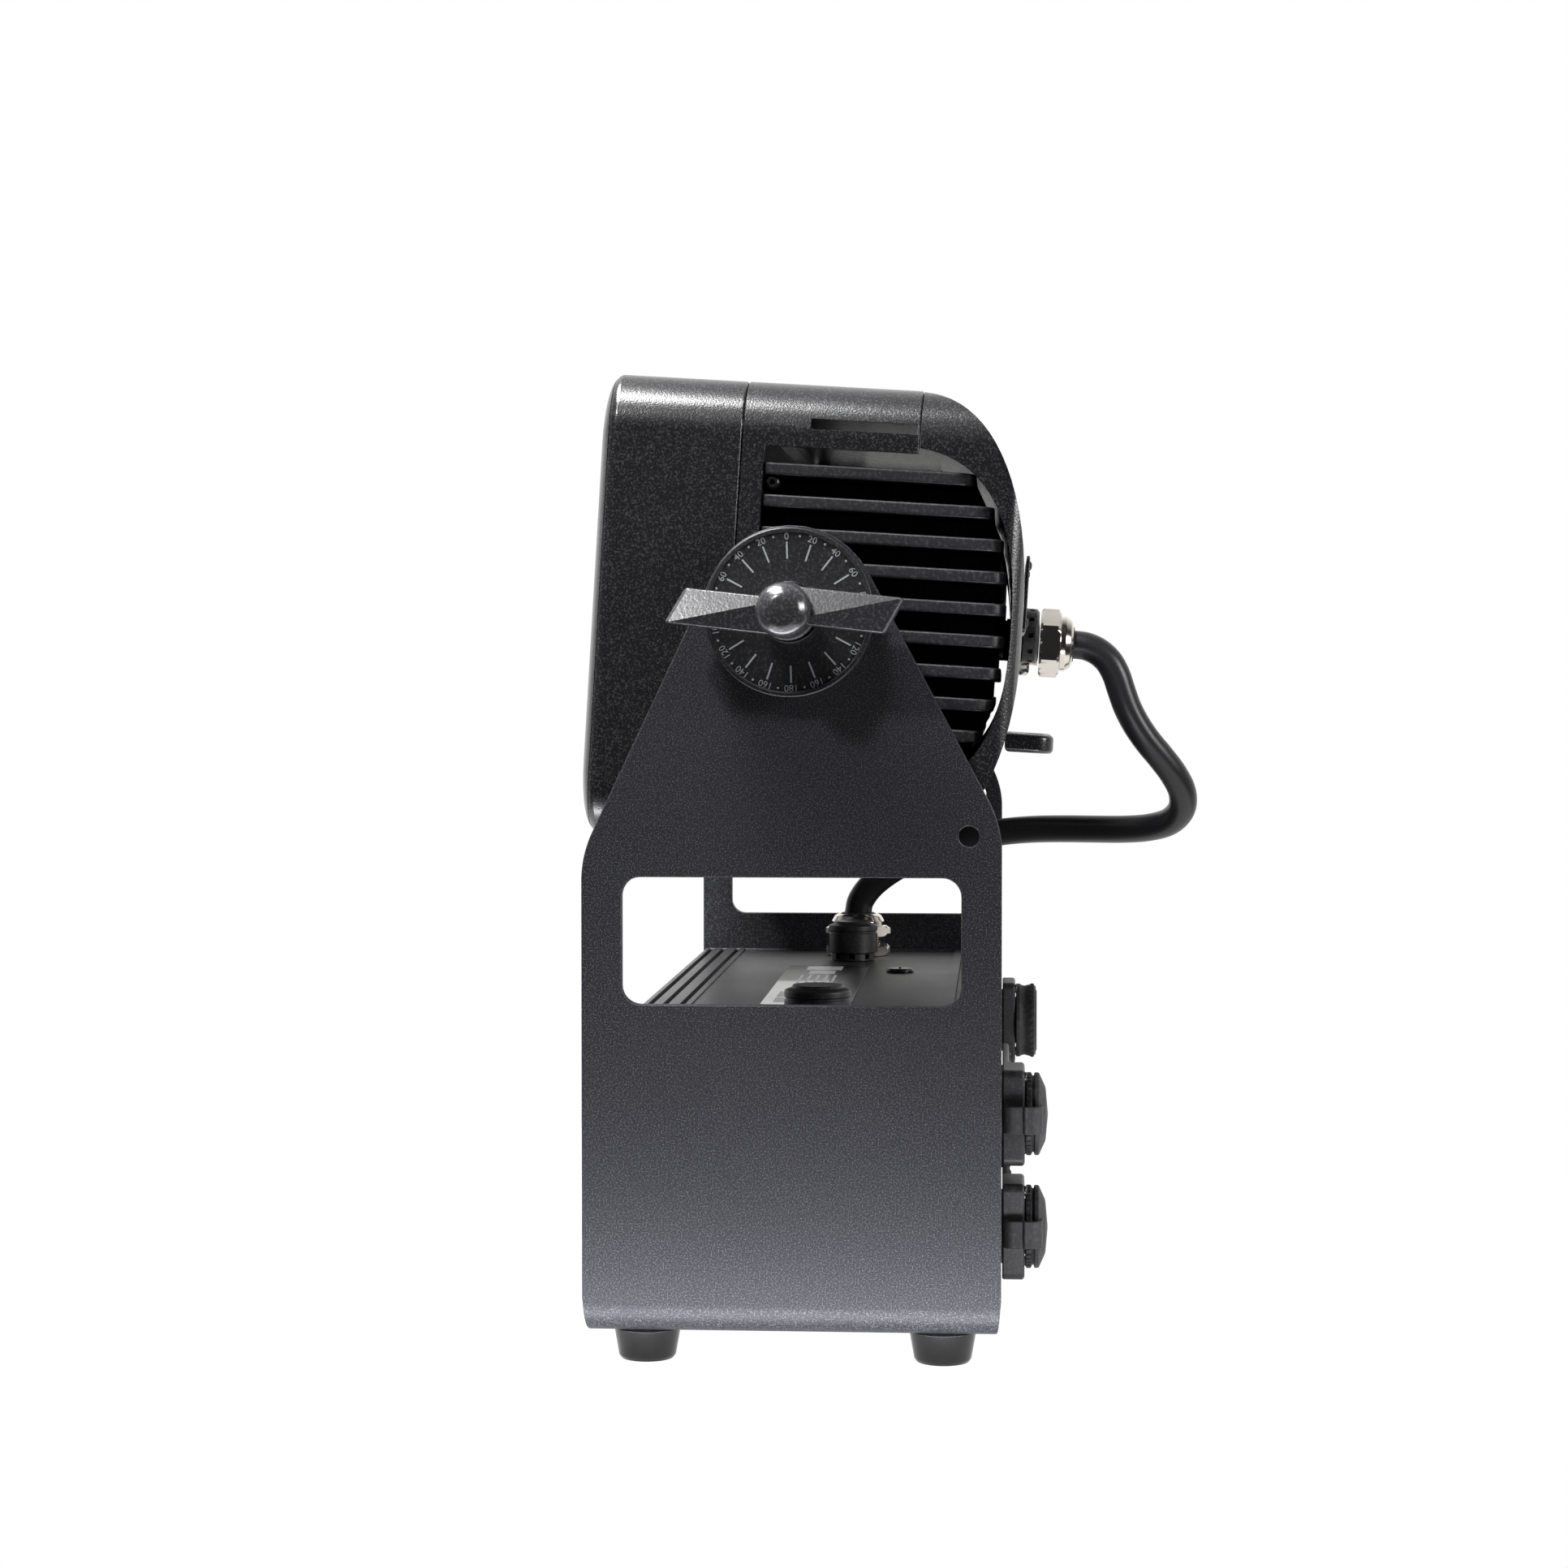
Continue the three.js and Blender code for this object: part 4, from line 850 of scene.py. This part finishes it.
plug = turned([(1, -6), (4.5, -6), (4.5, 0.3), (5.5, 0.3, 0.2), (5.5, 1, 0.4), (4.4, 1.6, 0.4), (0.5, 1.6)],
              "z", (-86, 24, deck), 36)
fitted("deck_plug", shaped(plug, slab([box_outline(-86, 24, 3.4, 0.5, 0.1, 2)], deck + 1, deck + 3, 0.02, 1)),
       foot_rubber, "yoke", "foot_rubber", "blanking_plug")

label_black = coated("label_black", (0.03, 0.03, 0.034), 0.22, patches=0.3, coat=0.4)
label_white = coated("label_white", (0.8, 0.82, 0.86), 0.35, patches=0.2)
label_top = deck + 0.6
label = slab([box_outline(-29, -5, 79, 16, 2)], deck + 0.3, label_top, 0.05, 1)
fitted("label_sheet", label, label_black, "yoke", "label_print", "rating_label")


def printed(x, y, half_x, half_y):
    return slab([box_outline(x, y, half_x, half_y, 0.2, 1)], label_top - 0.05, label_top + 0.06, 0.01, 1)


ruled = repeated(printed(-44, -13, 20, 0.5), rows, Columns=2, Column_Step=(44, 0, 0), Rows=5, Row_Step=(0, 3.2, 0),
                 Finish=label_white)
field_places = ((-94, -6, 8, 7), (-76, -6, 7, 5), (12, -11, 9, 6), (33, -11, 8, 6), (12, 5, 9, 3), (33, 4, 8, 4))
fields = together(*(printed(*field) for field in field_places))
fitted("label_fields", together(ruled, fields), label_white, "yoke", "label_print")

# ---- Cable glands ----
# Nickel-plated brass glands, one on the deck and one on the head's back: a hexagon body with a short
# thread, a domed compression nut, and a rubber insert squeezed round the cable.
AT_HEAD = (Matrix.Translation((0, axis_y, axis_z))
           @ Matrix.Rotation(math.radians(-3.5), 4, "X") @ Matrix.Scale(MM, 4))
nickel = coated("nickel_plate", (0.70, 0.66, 0.60), 0.16, grain=60, metal=1.0, speckle=0.05, patches=0.35)
bore = cable_radius + 0.3


def gland(name, axis, centre, reach, body, where):
    thread = []
    for k in range(4):
        thread += [(9.4, 5.2 + k * 0.75), (8.9, 5.55 + k * 0.75)]
    base = turned([(bore, -7), (8, -7), (8, 0.3), (12.2, 0.3), (13.5, 1.3), (13.5, 3.8), (12.2, 4.8), (9.0, 4.8),
                   *thread, (bore, 8.1)], axis, centre, 72, closed=True, shape=hexagon(23, 0.3, 4.8))
    nut = turned([(7.6, 8.4), (12.2, 8.4), (13.5, 9.3), (13.5, reach - 6.1), (12, reach - 5.1), (11, reach - 4.9, 0.3),
                  (10.9, reach - 3, 1.2), (9.6, reach - 0.8, 1.4), (8.2, reach, 0.5), (7.6, reach, 0.2)],
                 axis, centre, 72, closed=True, shape=hexagon(23.4, 8.4, reach - 5))
    seal = turned([(bore, 8.6), (7.3, 8.6), (7.3, reach - 0.2, 0.3), (6.6, reach + 0.5, 0.4), (5.75, reach + 0.2, 0.3)],
                  axis, centre, 48, closed=True)
    fitted(f"{name}_gland_base", base, nickel, body, "nickel_brass", f"{name}_gland_body", where=where, angle=25)
    fitted(f"{name}_gland_dome", nut, nickel, body, "nickel_brass", f"{name}_gland_nut", where=where, angle=25)
    fitted(f"{name}_gland_insert", seal, matt_rubber, body, "cap_rubber", f"{name}_gland_seal", where=where)


gland("box", "z", (-163, 4, deck), 17.6, "yoke", AT_YOKE)
cap_back = 70.2
head_cable_x = -98
gland("head", "y", (head_cable_x, cap_back + 0.2, 0), 21.4, "head", AT_HEAD)

# ---- Front of the head ----
# A die-cast front housing and a thin bezel hold the tempered glass on a rubber gasket. The front edge
# is rounded over a shallow ellipse. Fine-textured black paint, screws sunk round the bezel.
head_x, head_z = 188, 71.5
head_corner = 17
head_front = -63.3
bezel_back = -60.4
edge_drop, edge_depth = 13, 5.6
glass_x, glass_z = 168, 52
seam = -19.1
cast_paint = coated("cast_paint", (0.008, 0.008, 0.0095), 0.25, grain=1700, depth=0.0001, speckle=0.04,
                    patches=0.12, specular=0.9)


def front_edge(y_from, y_to, steps):
    """Rounded front edge between two depths, as stations for nested()."""
    start = head_front + edge_depth
    turns = [math.asin(min(1, (start - y) / edge_depth)) for y in (y_from, y_to)]
    stations = []
    for k in range(steps + 1):
        turn = turns[0] + (turns[1] - turns[0]) * k / steps
        inset = edge_drop * (1 - math.cos(turn))
        stations.append((head_x - inset, head_z - inset, head_corner - 0.4 * inset, start - edge_depth * math.sin(turn)))
    return stations


bezel = nested([
    (glass_x, glass_z, 8, bezel_back), *front_edge(bezel_back, head_front, 12),
    (glass_x + 1, glass_z + 1, 8.6, head_front), (glass_x + 0.3, glass_z + 0.3, 8.2, head_front + 0.3),
    (glass_x, glass_z, 8, head_front + 1),
], closed=True, steps=12)
fitted("bezel_frame", bezel, cast_paint, "head", "cast_black", "front_bezel", where=AT_HEAD, angle=30)
bezel_screw = moved(screw(2.3, 1.1), -160, head_front + 0.1, -55.3, Matrix.Rotation(math.pi / 2, 4, "X"))
fitted("bezel_screws", repeated(bezel_screw, rows, Columns=6, Column_Step=(64, 0, 0), Rows=2,
                                Row_Step=(0, 0, 110.6), Finish=dark_zinc),
       dark_zinc, "head", "stud_steel", where=AT_HEAD)

front_shell = nested([
    (head_x - 3, head_z - 3, head_corner - 3, seam), (head_x - 0.4, head_z - 0.4, head_corner - 0.4, seam),
    (head_x, head_z, head_corner, seam - 0.4), *front_edge(head_front + edge_depth, bezel_back + 0.3, 6),
    (glass_x + 5.4, glass_z + 5.4, 8, bezel_back + 0.3), (glass_x + 5.4, glass_z + 5.4, 8, -54.2),
    (170, 54, 6, -54.2), (170, 54, 6, -27),
], steps=12)
fitted("front_shell", front_shell, cast_paint, "head", "cast_black", "front_housing", where=AT_HEAD, angle=30)

glass, _, glass_shader = node_material("clear_glass")
glass_shader.inputs["Base Color"].default_value = (0.93, 0.97, 0.96, 1)
glass_shader.inputs["Roughness"].default_value = 0.02
glass_shader.inputs["Transmission Weight"].default_value = 1
pane = nested([(glass_x + 3.2, glass_z + 3.2, 8, -60.1), (glass_x + 3.6, glass_z + 3.6, 8, -59.7),
               (glass_x + 3.6, glass_z + 3.6, 8, -56.9), (glass_x + 3.2, glass_z + 3.2, 8, -56.5)])
fitted("glass_pane", pane, glass, "head", "front_glass", "front_glass", where=AT_HEAD)
gasket = nested([(173, 57, 8, -56.2), (173, 57, 8, -54.5), (168, 52, 8, -54.5), (168, 52, 8, -56.2)], closed=True)
fitted("gasket_ring", gasket, matt_rubber, "head", "cap_rubber", "glass_gasket", where=AT_HEAD)

# ---- Lenses and light emitters ----
# Three rows of nine clear moulded lenses on one thin sheet, each over a small square emitter.
lens_columns, lens_rows = 9, 3
lens_pitch_x, lens_pitch_z = 36, 34
first_lens = (-(lens_columns - 1) / 2 * lens_pitch_x, 0, -(lens_rows - 1) / 2 * lens_pitch_z)
clear_plastic, _, lens_shader = node_material("clear_plastic")
lens_shader.inputs["Base Color"].default_value = (0.95, 0.96, 0.97, 1)
lens_shader.inputs["Roughness"].default_value = 0.06
lens_shader.inputs["Transmission Weight"].default_value = 0.9
lens_shader.inputs["IOR"].default_value = 1.49
sheet = nested([(167, 52, 6, -50), (167, 52, 6, -47.5)])
lens = turned([(0.5, -52.2), (8, -51.6, 4), (14.6, -50.2, 0.5), (15, -47.6), (12.4, -42, 12), (6, -31.2), (0.5, -31.2)],
              "y", first_lens, 32)
grid = dict(Columns=lens_columns, Column_Step=(lens_pitch_x, 0, 0), Rows=lens_rows, Row_Step=(0, 0, lens_pitch_z))
fitted("lens_array", together(sheet, repeated(lens, rows, Finish=clear_plastic, **grid)), clear_plastic, "head",
       "lens_plastic", "lens_plate", where=AT_HEAD)
phosphor = coated("emitter_phosphor", (0.85, 0.62, 0.12), 0.5, grain=300, speckle=0.05)
chip = nested([(2.6, 2.6, 0.5, -29.1), (2.6, 2.6, 0.5, -30.2), (2.2, 2.2, 0.4, -30.6)])
chip.transform(Matrix.Translation(first_lens))
fitted("emitters", repeated(chip, rows, Finish=phosphor, **grid), phosphor, "head", "lens_plastic", where=AT_HEAD)

# ---- Fin housing ----
# A die-cast tube behind the front housing. Each side is open in a tall window onto the fins, with a
# slot above and below it.
cap_seam = 35.4
wall = 3.2
window_front = -12
window_half = 51
tube = nested([
    (head_x - wall, head_z - wall, head_corner - wall, seam + 0.3),
    (head_x - 0.4, head_z - 0.4, head_corner - 0.4, seam + 0.3), (head_x, head_z, head_corner, seam + 0.7),
    (head_x, head_z, head_corner, cap_seam - 0.4), (head_x - 0.4, head_z - 0.4, head_corner - 0.4, cap_seam),
    (head_x - wall, head_z - wall, head_corner - wall, cap_seam),
], closed=True, steps=12)
side_window = slab_x([rounded([(window_front, -window_half, 1.5), (60, -window_half), (60, window_half),
                               (window_front, window_half, 1.5)], 5)], -200, 200, 0)
side_slots = [slab_x([box_outline(18.2, side * 58.3, 16.4, 1.6, 0.4, 3)], -200, 200, 0) for side in (1, -1)]
fitted("fin_shell", softened(shaped(tube, side_window, *side_slots), 0.5), cast_paint, "head", "cast_black",
       "fin_housing", where=AT_HEAD, angle=30)
window_screw = moved(screw(2.4, 2), 183.4, -9, 40, TO_RIGHT)
fitted("window_screws", together(window_screw, moved(screw(2.4, 2), -183.4, -9, 40, TO_LEFT)), dark_zinc, "head",
       "stud_steel", where=AT_HEAD)

# ---- Heat sink ----
# An aluminium casting: a base plate, ten horizontal fins with rounded rear corners that follow the
# curve of the rear cap, two webs across them, a duct for the cable, and bosses for the pivot studs.
fin_count = 10
fin_pitch = 9.8
fin_thickness = 3.8
fin_reach = 65
fin_half_width = 186.5
fin_root = 183.5


def stacked_fins():
    """Node tree: copies of one fin above each other, set back further away from the middle."""
    tree = bpy.data.node_groups.new("stacked_fins", "GeometryNodeTree")
    for label, kind in (("Geometry", "Geometry"), ("Count", "Int"), ("Lowest", "Vector"), ("Pitch", "Vector"),
                        ("Set Back", "Float"), ("Half Height", "Float"), ("Curve Power", "Float"),
                        ("Rear From", "Float"), ("Finish", "Material")):
        tree.interface.new_socket(label, in_out="INPUT", socket_type=f"NodeSocket{kind}")
    tree.interface.new_socket("Geometry", in_out="OUTPUT", socket_type="NodeSocketGeometry")
    nodes, links = tree.nodes, tree.links
    given = nodes.new("NodeGroupInput")

    def math_node(operation, first, second=None):
        node = nodes.new("ShaderNodeMath")
        node.operation = operation
        links.new(first, node.inputs[0])
        if second is not None:
            links.new(second, node.inputs[1])
        return node.outputs[0]

    def place_part(axis):
        spot = nodes.new("GeometryNodeInputPosition")
        parts = nodes.new("ShaderNodeSeparateXYZ")
        links.new(spot.outputs[0], parts.inputs[0])
        return parts.outputs[axis]

    line = nodes.new("GeometryNodeMeshLine")
    for label, socket in (("Count", "Count"), ("Lowest", "Start Location"), ("Pitch", "Offset")):
        links.new(given.outputs[label], line.inputs[socket])
    share = math_node("DIVIDE", place_part("Z"), given.outputs["Half Height"])
    power = math_node("POWER", math_node("ABSOLUTE", share), given.outputs["Curve Power"])
    keep = nodes.new("GeometryNodeStoreNamedAttribute")
    keep.data_type = "FLOAT"
    keep.inputs["Name"].default_value = "set_back"
    links.new(line.outputs["Mesh"], keep.inputs["Geometry"])
    links.new(math_node("MULTIPLY", power, given.outputs["Set Back"]), keep.inputs["Value"])
    copies = nodes.new("GeometryNodeInstanceOnPoints")
    links.new(keep.outputs["Geometry"], copies.inputs["Points"])
    links.new(given.outputs["Geometry"], copies.inputs["Instance"])
    real = nodes.new("GeometryNodeRealizeInstances")
    links.new(copies.outputs["Instances"], real.inputs["Geometry"])
    kept = nodes.new("GeometryNodeInputNamedAttribute")
    kept.data_type = "FLOAT"
    kept.inputs["Name"].default_value = "set_back"
    shift = nodes.new("ShaderNodeCombineXYZ")
    links.new(math_node("MULTIPLY", kept.outputs["Attribute"], math_node("GREATER_THAN", place_part("Y"),
                                                                         given.outputs["Rear From"])),
              shift.inputs["Y"])
    flip = nodes.new("ShaderNodeVectorMath")
    flip.operation = "SCALE"
    flip.inputs["Scale"].default_value = -1
    links.new(shift.outputs[0], flip.inputs[0])
    push = nodes.new("GeometryNodeSetPosition")
    links.new(real.outputs["Geometry"], push.inputs["Geometry"])
    links.new(flip.outputs[0], push.inputs["Offset"])
    return finished_tree(tree, push.outputs["Geometry"], given)


fin_paint = coated("fin_paint", (0.018, 0.018, 0.021), 0.38, grain=900, depth=0.00006, speckle=0.03)
fin = slab([rounded([(-fin_root, window_front - 1), (fin_root, window_front - 1), (fin_root, window_front + 0.3),
                     (fin_half_width, window_front + 0.3, 0.8), (fin_half_width, fin_reach, 6),
                     (-fin_half_width, fin_reach, 6), (-fin_half_width, window_front + 0.3, 0.8),
                     (-fin_root, window_front + 0.3)], 8)], -fin_thickness / 2, fin_thickness / 2, 0.7, 3)
fins = repeated(fin, stacked_fins(), Count=fin_count, Lowest=(0, 0, -(fin_count - 1) / 2 * fin_pitch),
                Pitch=(0, 0, fin_pitch), Set_Back=11.6, Half_Height=44.0, Curve_Power=3.0, Rear_From=20.0,
                Finish=fin_paint)
back_plate = nested([(fin_root, 56, 3, seam + 0.3), (fin_root, 56, 3, window_front - 0.4)])
duct = nested([(30, 14, 6, window_front - 1), (30, 14, 6, 63.4), (27, 11, 4, 63.4), (27, 11, 4, window_front - 1)],
              -83, 0, closed=True)
web_inner, web_outer = 150, 153
web_outline = [(window_front - 1, -45), (53, -45), (62, -28), (62, 28), (53, 45), (window_front - 1, 45)]
web = slab_x([rounded(web_outline, 4)], web_inner, web_outer, 0.3)
other_web = moved(web, x=-(web_inner + web_outer))
boss = turned([(6.3, 158), (18, 158, 1), (18, 187.2, 0.8), (6.3, 187.2, 0.3)], "x", sides=48, closed=True)
trim = slab_x([[Vector(p) for p in ((-30, -30), (window_front, -30), (window_front, 30), (-30, 30))]], 183, 190, 0)
boss = shaped(boss, trim)
other_boss = boss.copy()
other_boss.transform(Matrix.Scale(-1, 4, (1, 0, 0)))
casting = together(fins, back_plate, duct, web, other_web, boss, facing_out(other_boss))
fitted("finned_casting", casting, fin_paint, "head", "fin_black", "heat_sink", where=AT_HEAD, angle=30)

# ---- Rear cap ----
# A curved die-cast shell behind the fins. Its side walls are frames that follow its back, so the fins
# stay in sight from the side.


def curve_profile(front, start, pulls, back, height, steps=20):
    """Side view of the cap: a smooth curve from the top of its front round to the bottom."""
    def bezier(a, b, c, d):
        return [a * (1 - t) ** 3 + 3 * b * t * (1 - t) ** 2 + 3 * c * t * t * (1 - t) + d * t ** 3
                for t in (k / steps for k in range(steps + 1))]
    upper = bezier(Vector((front, start)), Vector((pulls[0], start * 0.98)), Vector((pulls[1], height)),
                   Vector((back, 0)))
    return upper + [Vector((y, -z)) for y, z in upper[-2::-1]]


cap_front = cap_seam + 0.3
cap_solid = slab_x([curve_profile(cap_front, 70.9, (55, 71.4), cap_back, 46)], -head_x, head_x, 0)
cap_section = slab_y([box_outline(0, 0, head_x, head_z, head_corner, 12)], cap_front - 5, 80, 0)
cap_plan = slab([rounded([(-head_x, 0), (head_x, 0), (head_x, cap_back + 0.2, 9), (-head_x, cap_back + 0.2, 9)], 10)],
                -80, 80, 0)
cap_hollow = shaped(
    slab_x([curve_profile(cap_front - 6, 67.6, (52, 67.8), cap_back - 3.5, 44)], -head_x, head_x, 0),
    slab_y([box_outline(0, 0, head_x - wall, head_z - wall, head_corner - wall, 12)], 20, 90, 0), how="INTERSECT")
cap_windows = slab_x([curve_profile(cap_front - 2.3, window_half + 2, (52.5, 67.6), cap_back - 3.5, 38)],
                     -200, 200, 0)
lug_z = (-41.3, -34.7)
lug_hole = slab([box_outline(0, 70, 25.3, 10, 0.3, 1)], lug_z[0] - 0.3, lug_z[1] + 0.3, 0)
outer_cap = shaped(shaped(cap_solid, cap_section, how="INTERSECT"), cap_plan, how="INTERSECT")
gland_hole = turned([(8.3, 50), (8.3, 85)], "y", (head_cable_x, 0, 0), 40)
vent_hole = turned([(6.3, 50), (6.3, 85)], "y", (-68, 0, 2), 40)
rear_shell = shaped(outer_cap, cap_hollow, cap_windows, gland_hole, vent_hole, lug_hole)
fitted("rear_shell", softened(rear_shell, 0.6, 3), cast_paint, "head", "cast_black", "rear_cap", where=AT_HEAD,
       angle=30)

# ---- Fittings on the back of the head ----
# A pressure vent with notches round its rim, a lug for a safety wire, and a blank riveted plate.
head_vent = turned([(1, -5), (6, -5), (6, 0.3), (9.4, 0.3), (9.4, 1.2), (10.4, 1.5, 0.3), (10.4, 6.4, 0.6),
                    (9.2, 7.4, 0.5), (0.6, 7.4)], "y", (-68, cap_back + 0.2, 2))
notch = slab([box_outline(10.4, 0, 1.6, 1.0, 0.2, 2)], 3.6, 5.4, 0.05, 1)
notch.transform(TO_BACK)
notches = repeated(notch, around, Count=10, Axis=(0, 1, 0), Step_Angle=math.pi / 5,
                   Centre=(-68, cap_back + 0.2, 2), Finish=moulded_black)
fitted("head_vent_cap", shaped(head_vent, notches), moulded_black, "head", "black_plastic", "head_vent",
       where=AT_HEAD)
lug = slab([rounded([(-25, 67.4), (25, 67.4), (25, 84.7, 7), (-25, 84.7, 7)], 8), box_outline(0, 78, 9, 2.6, 2.5)],
           *lug_z, 1.6, 4)
fitted("safety_lug", lug, cast_paint, "head", "cast_black", "rear_lug", where=AT_HEAD, angle=30)
blank_plate = nested([(44.6, 13.1, 1.5, 70.9), (45, 13.5, 1.8, 71.1), (45, 13.5, 1.8, 71.8), (44.6, 13.1, 1.5, 72.1)],
                     0, 14.5)
rivet = turned([(1.6, 72.0), (1.6, 72.4, 0.3), (0.8, 72.9, 0.5), (0.2, 72.9)], "y", (-41.5, 0, 4.5), 20)
fitted("blank_plate", blank_plate, cast_paint, "head", "cast_black", "rear_plate", where=AT_HEAD)
fitted("plate_rivets", repeated(rivet, rows, Columns=2, Column_Step=(83, 0, 0), Rows=2, Row_Step=(0, 0, 20),
                                Finish=dark_zinc), dark_zinc, "head", "stud_steel", where=AT_HEAD)

# ---- Pivots ----
# A zinc-plated stud on each side of the head passes through the arm. It carries a friction flange
# inside the arm, and outside it a disc with a scale in degrees and a wing knob that clamps the tilt.
zinc = coated("zinc_plate", (0.55, 0.56, 0.58), 0.3, grain=900, depth=0.00002, metal=1.0, speckle=0.06)
disc_radius = 25.5
disc_back, disc_face = 200.3, 208
MIRROR = Matrix.Scale(-1, 4, (1, 0, 0))
FROM_RIGHT = ALONG_X
FROM_LEFT = Matrix(((0, 0, -1, 0), (-1, 0, 0, 0), (0, 1, 0, 0), (0, 0, 0, 1)))
AT_AXIS = AT_YOKE @ Matrix.Translation((0, 0, axis_height))
scale_turn = math.radians(1.8)
disc_coat = coated("disc_coat", (0.009, 0.009, 0.0105), 0.4, grain=1400, depth=0.00008, speckle=0.03)
scale_ink = coated("scale_ink", (0.3, 0.31, 0.33), 0.5, patches=0.2)

stud = turned([(0.5, 166), (6, 166, 0.5), (6, 188.3), (17, 188.3, 0.6), (17, 194.7, 0.6), (8.3, 194.7),
               (8.3, 211.7, 0.3),
               (5, 211.7), (5, 230, 0.6), (0.5, 230)], "x", sides=48)
disc = turned([(8.9, disc_back), (disc_radius, disc_back, 0.4), (disc_radius, disc_face, 0.5),
               (disc_radius - 1.3, disc_face, 0.3), (disc_radius - 1.6, disc_face - 0.7),
               (9.4, disc_face - 0.7, 0.3), (8.9, disc_face - 1.1)], "x", sides=96, closed=True)
ink_low, ink_high = disc_face - 0.75, disc_face - 0.58
tick = slab([box_outline(0, 18.6, 0.26, 2.6, 0.1, 1)], ink_low, ink_high, 0.02, 1)
dot = slab([circle(0, 23.0, 0.38, 10)], ink_low, ink_high, 0.02, 1)
dot.transform(Matrix.Rotation(math.radians(10), 4, "Z"))
ticks = repeated(tick, around, Count=18, Axis=(0, 0, 1), Step_Angle=math.radians(20), Finish=scale_ink)
dots = repeated(dot, around, Count=18, Axis=(0, 0, 1), Step_Angle=math.radians(20), Finish=scale_ink)
numerals = []
for angle in range(-160, 181, 20):
    figure = lettering(str(abs(angle)), 2.9, ink_high - ink_low)
    middle = (ink_low + ink_high) / 2
    numerals.append(moved(figure, turn=Matrix.Rotation(-math.radians(angle), 4, "Z")
                          @ Matrix.Translation((0, 22.7, middle))))
marks = together(ticks, dots, *numerals)

knob_plastic = coated("knob_plastic", (0.030, 0.030, 0.034), 0.24, grain=1200, depth=0.00006, speckle=0.05,
                      patches=0.15, specular=0.9)
knob_back = 212
wing_back, wing_face = 217, 232


def wing(outer_low, inner_low, inner_high, outer_high):
    """One wing, its face folded along a crease between opposite corners, given as (y, z, x)."""
    corners = (outer_low, inner_low, inner_high, outer_high)
    points = [(x, y, z) for y, z, x in corners] + [(wing_back, y, z) for y, z, x in corners]
    mesh = bpy.data.meshes.new("wing")
    mesh.from_pydata(points, [], [(0, 1, 2), (0, 2, 3), (7, 6, 5, 4), (0, 4, 5, 1), (1, 5, 6, 2), (2, 6, 7, 3),
                                  (3, 7, 4, 0)])
    return facing_out(mesh)


front_wing = wing((-34.4, -7.5, wing_face), (1, -7.5, wing_face - 3.4), (1, 3.5, wing_face),
                  (-29.8, 3.5, wing_face - 3.6))
rear_wing = wing((34.7, 7.5, wing_face), (-1, 7.5, wing_face - 3.6), (-1, -3.5, wing_face),
                 (30, -3.5, wing_face - 3.4))
hub = turned([(5.3, knob_back), (8.6, knob_back, 0.5), (8.6, 216.5, 0.5), (8.2, 217), (8.2, 233.5), (7.6, 236.6, 4),
              (4.5, 239.2, 4), (0.6, 239.6)], "x", sides=64)
knob = softened(front_wing, 1.0, 6, 45), softened(rear_wing, 1.0, 6, 45), hub
knob_tilt = Matrix.Rotation(math.radians(-3), 4, "X")
for label, mirror, reading in (("right", Matrix.Identity(4), FROM_RIGHT), ("left", MIRROR, FROM_LEFT)):
    side_stud, side_disc = stud.copy(), disc.copy()
    side_knob = together(*knob)
    for mesh in (side_stud, side_disc, side_knob):
        mesh.transform(mirror)
        if label == "left":
            facing_out(mesh)
    side_knob.transform(knob_tilt)
    print_turn = Matrix.Rotation(scale_turn, 4, "X") @ reading
    fitted(f"stud_{label}", side_stud, zinc, "head", "stud_steel", f"pivot_stud_{label}", where=AT_HEAD)
    fitted(f"scale_disc_{label}", side_disc, disc_coat, "yoke", "scale_disc", f"tilt_scale_{label}", where=AT_AXIS)
    fitted(f"scale_marks_{label}", moved(marks, turn=print_turn), scale_ink, "yoke", "scale_disc", where=AT_AXIS)
    fitted(f"clamp_knob_{label}", side_knob, knob_plastic, f"{label}_knob", "knob_plastic", f"wing_knob_{label}",
           where=AT_HEAD, angle=16)
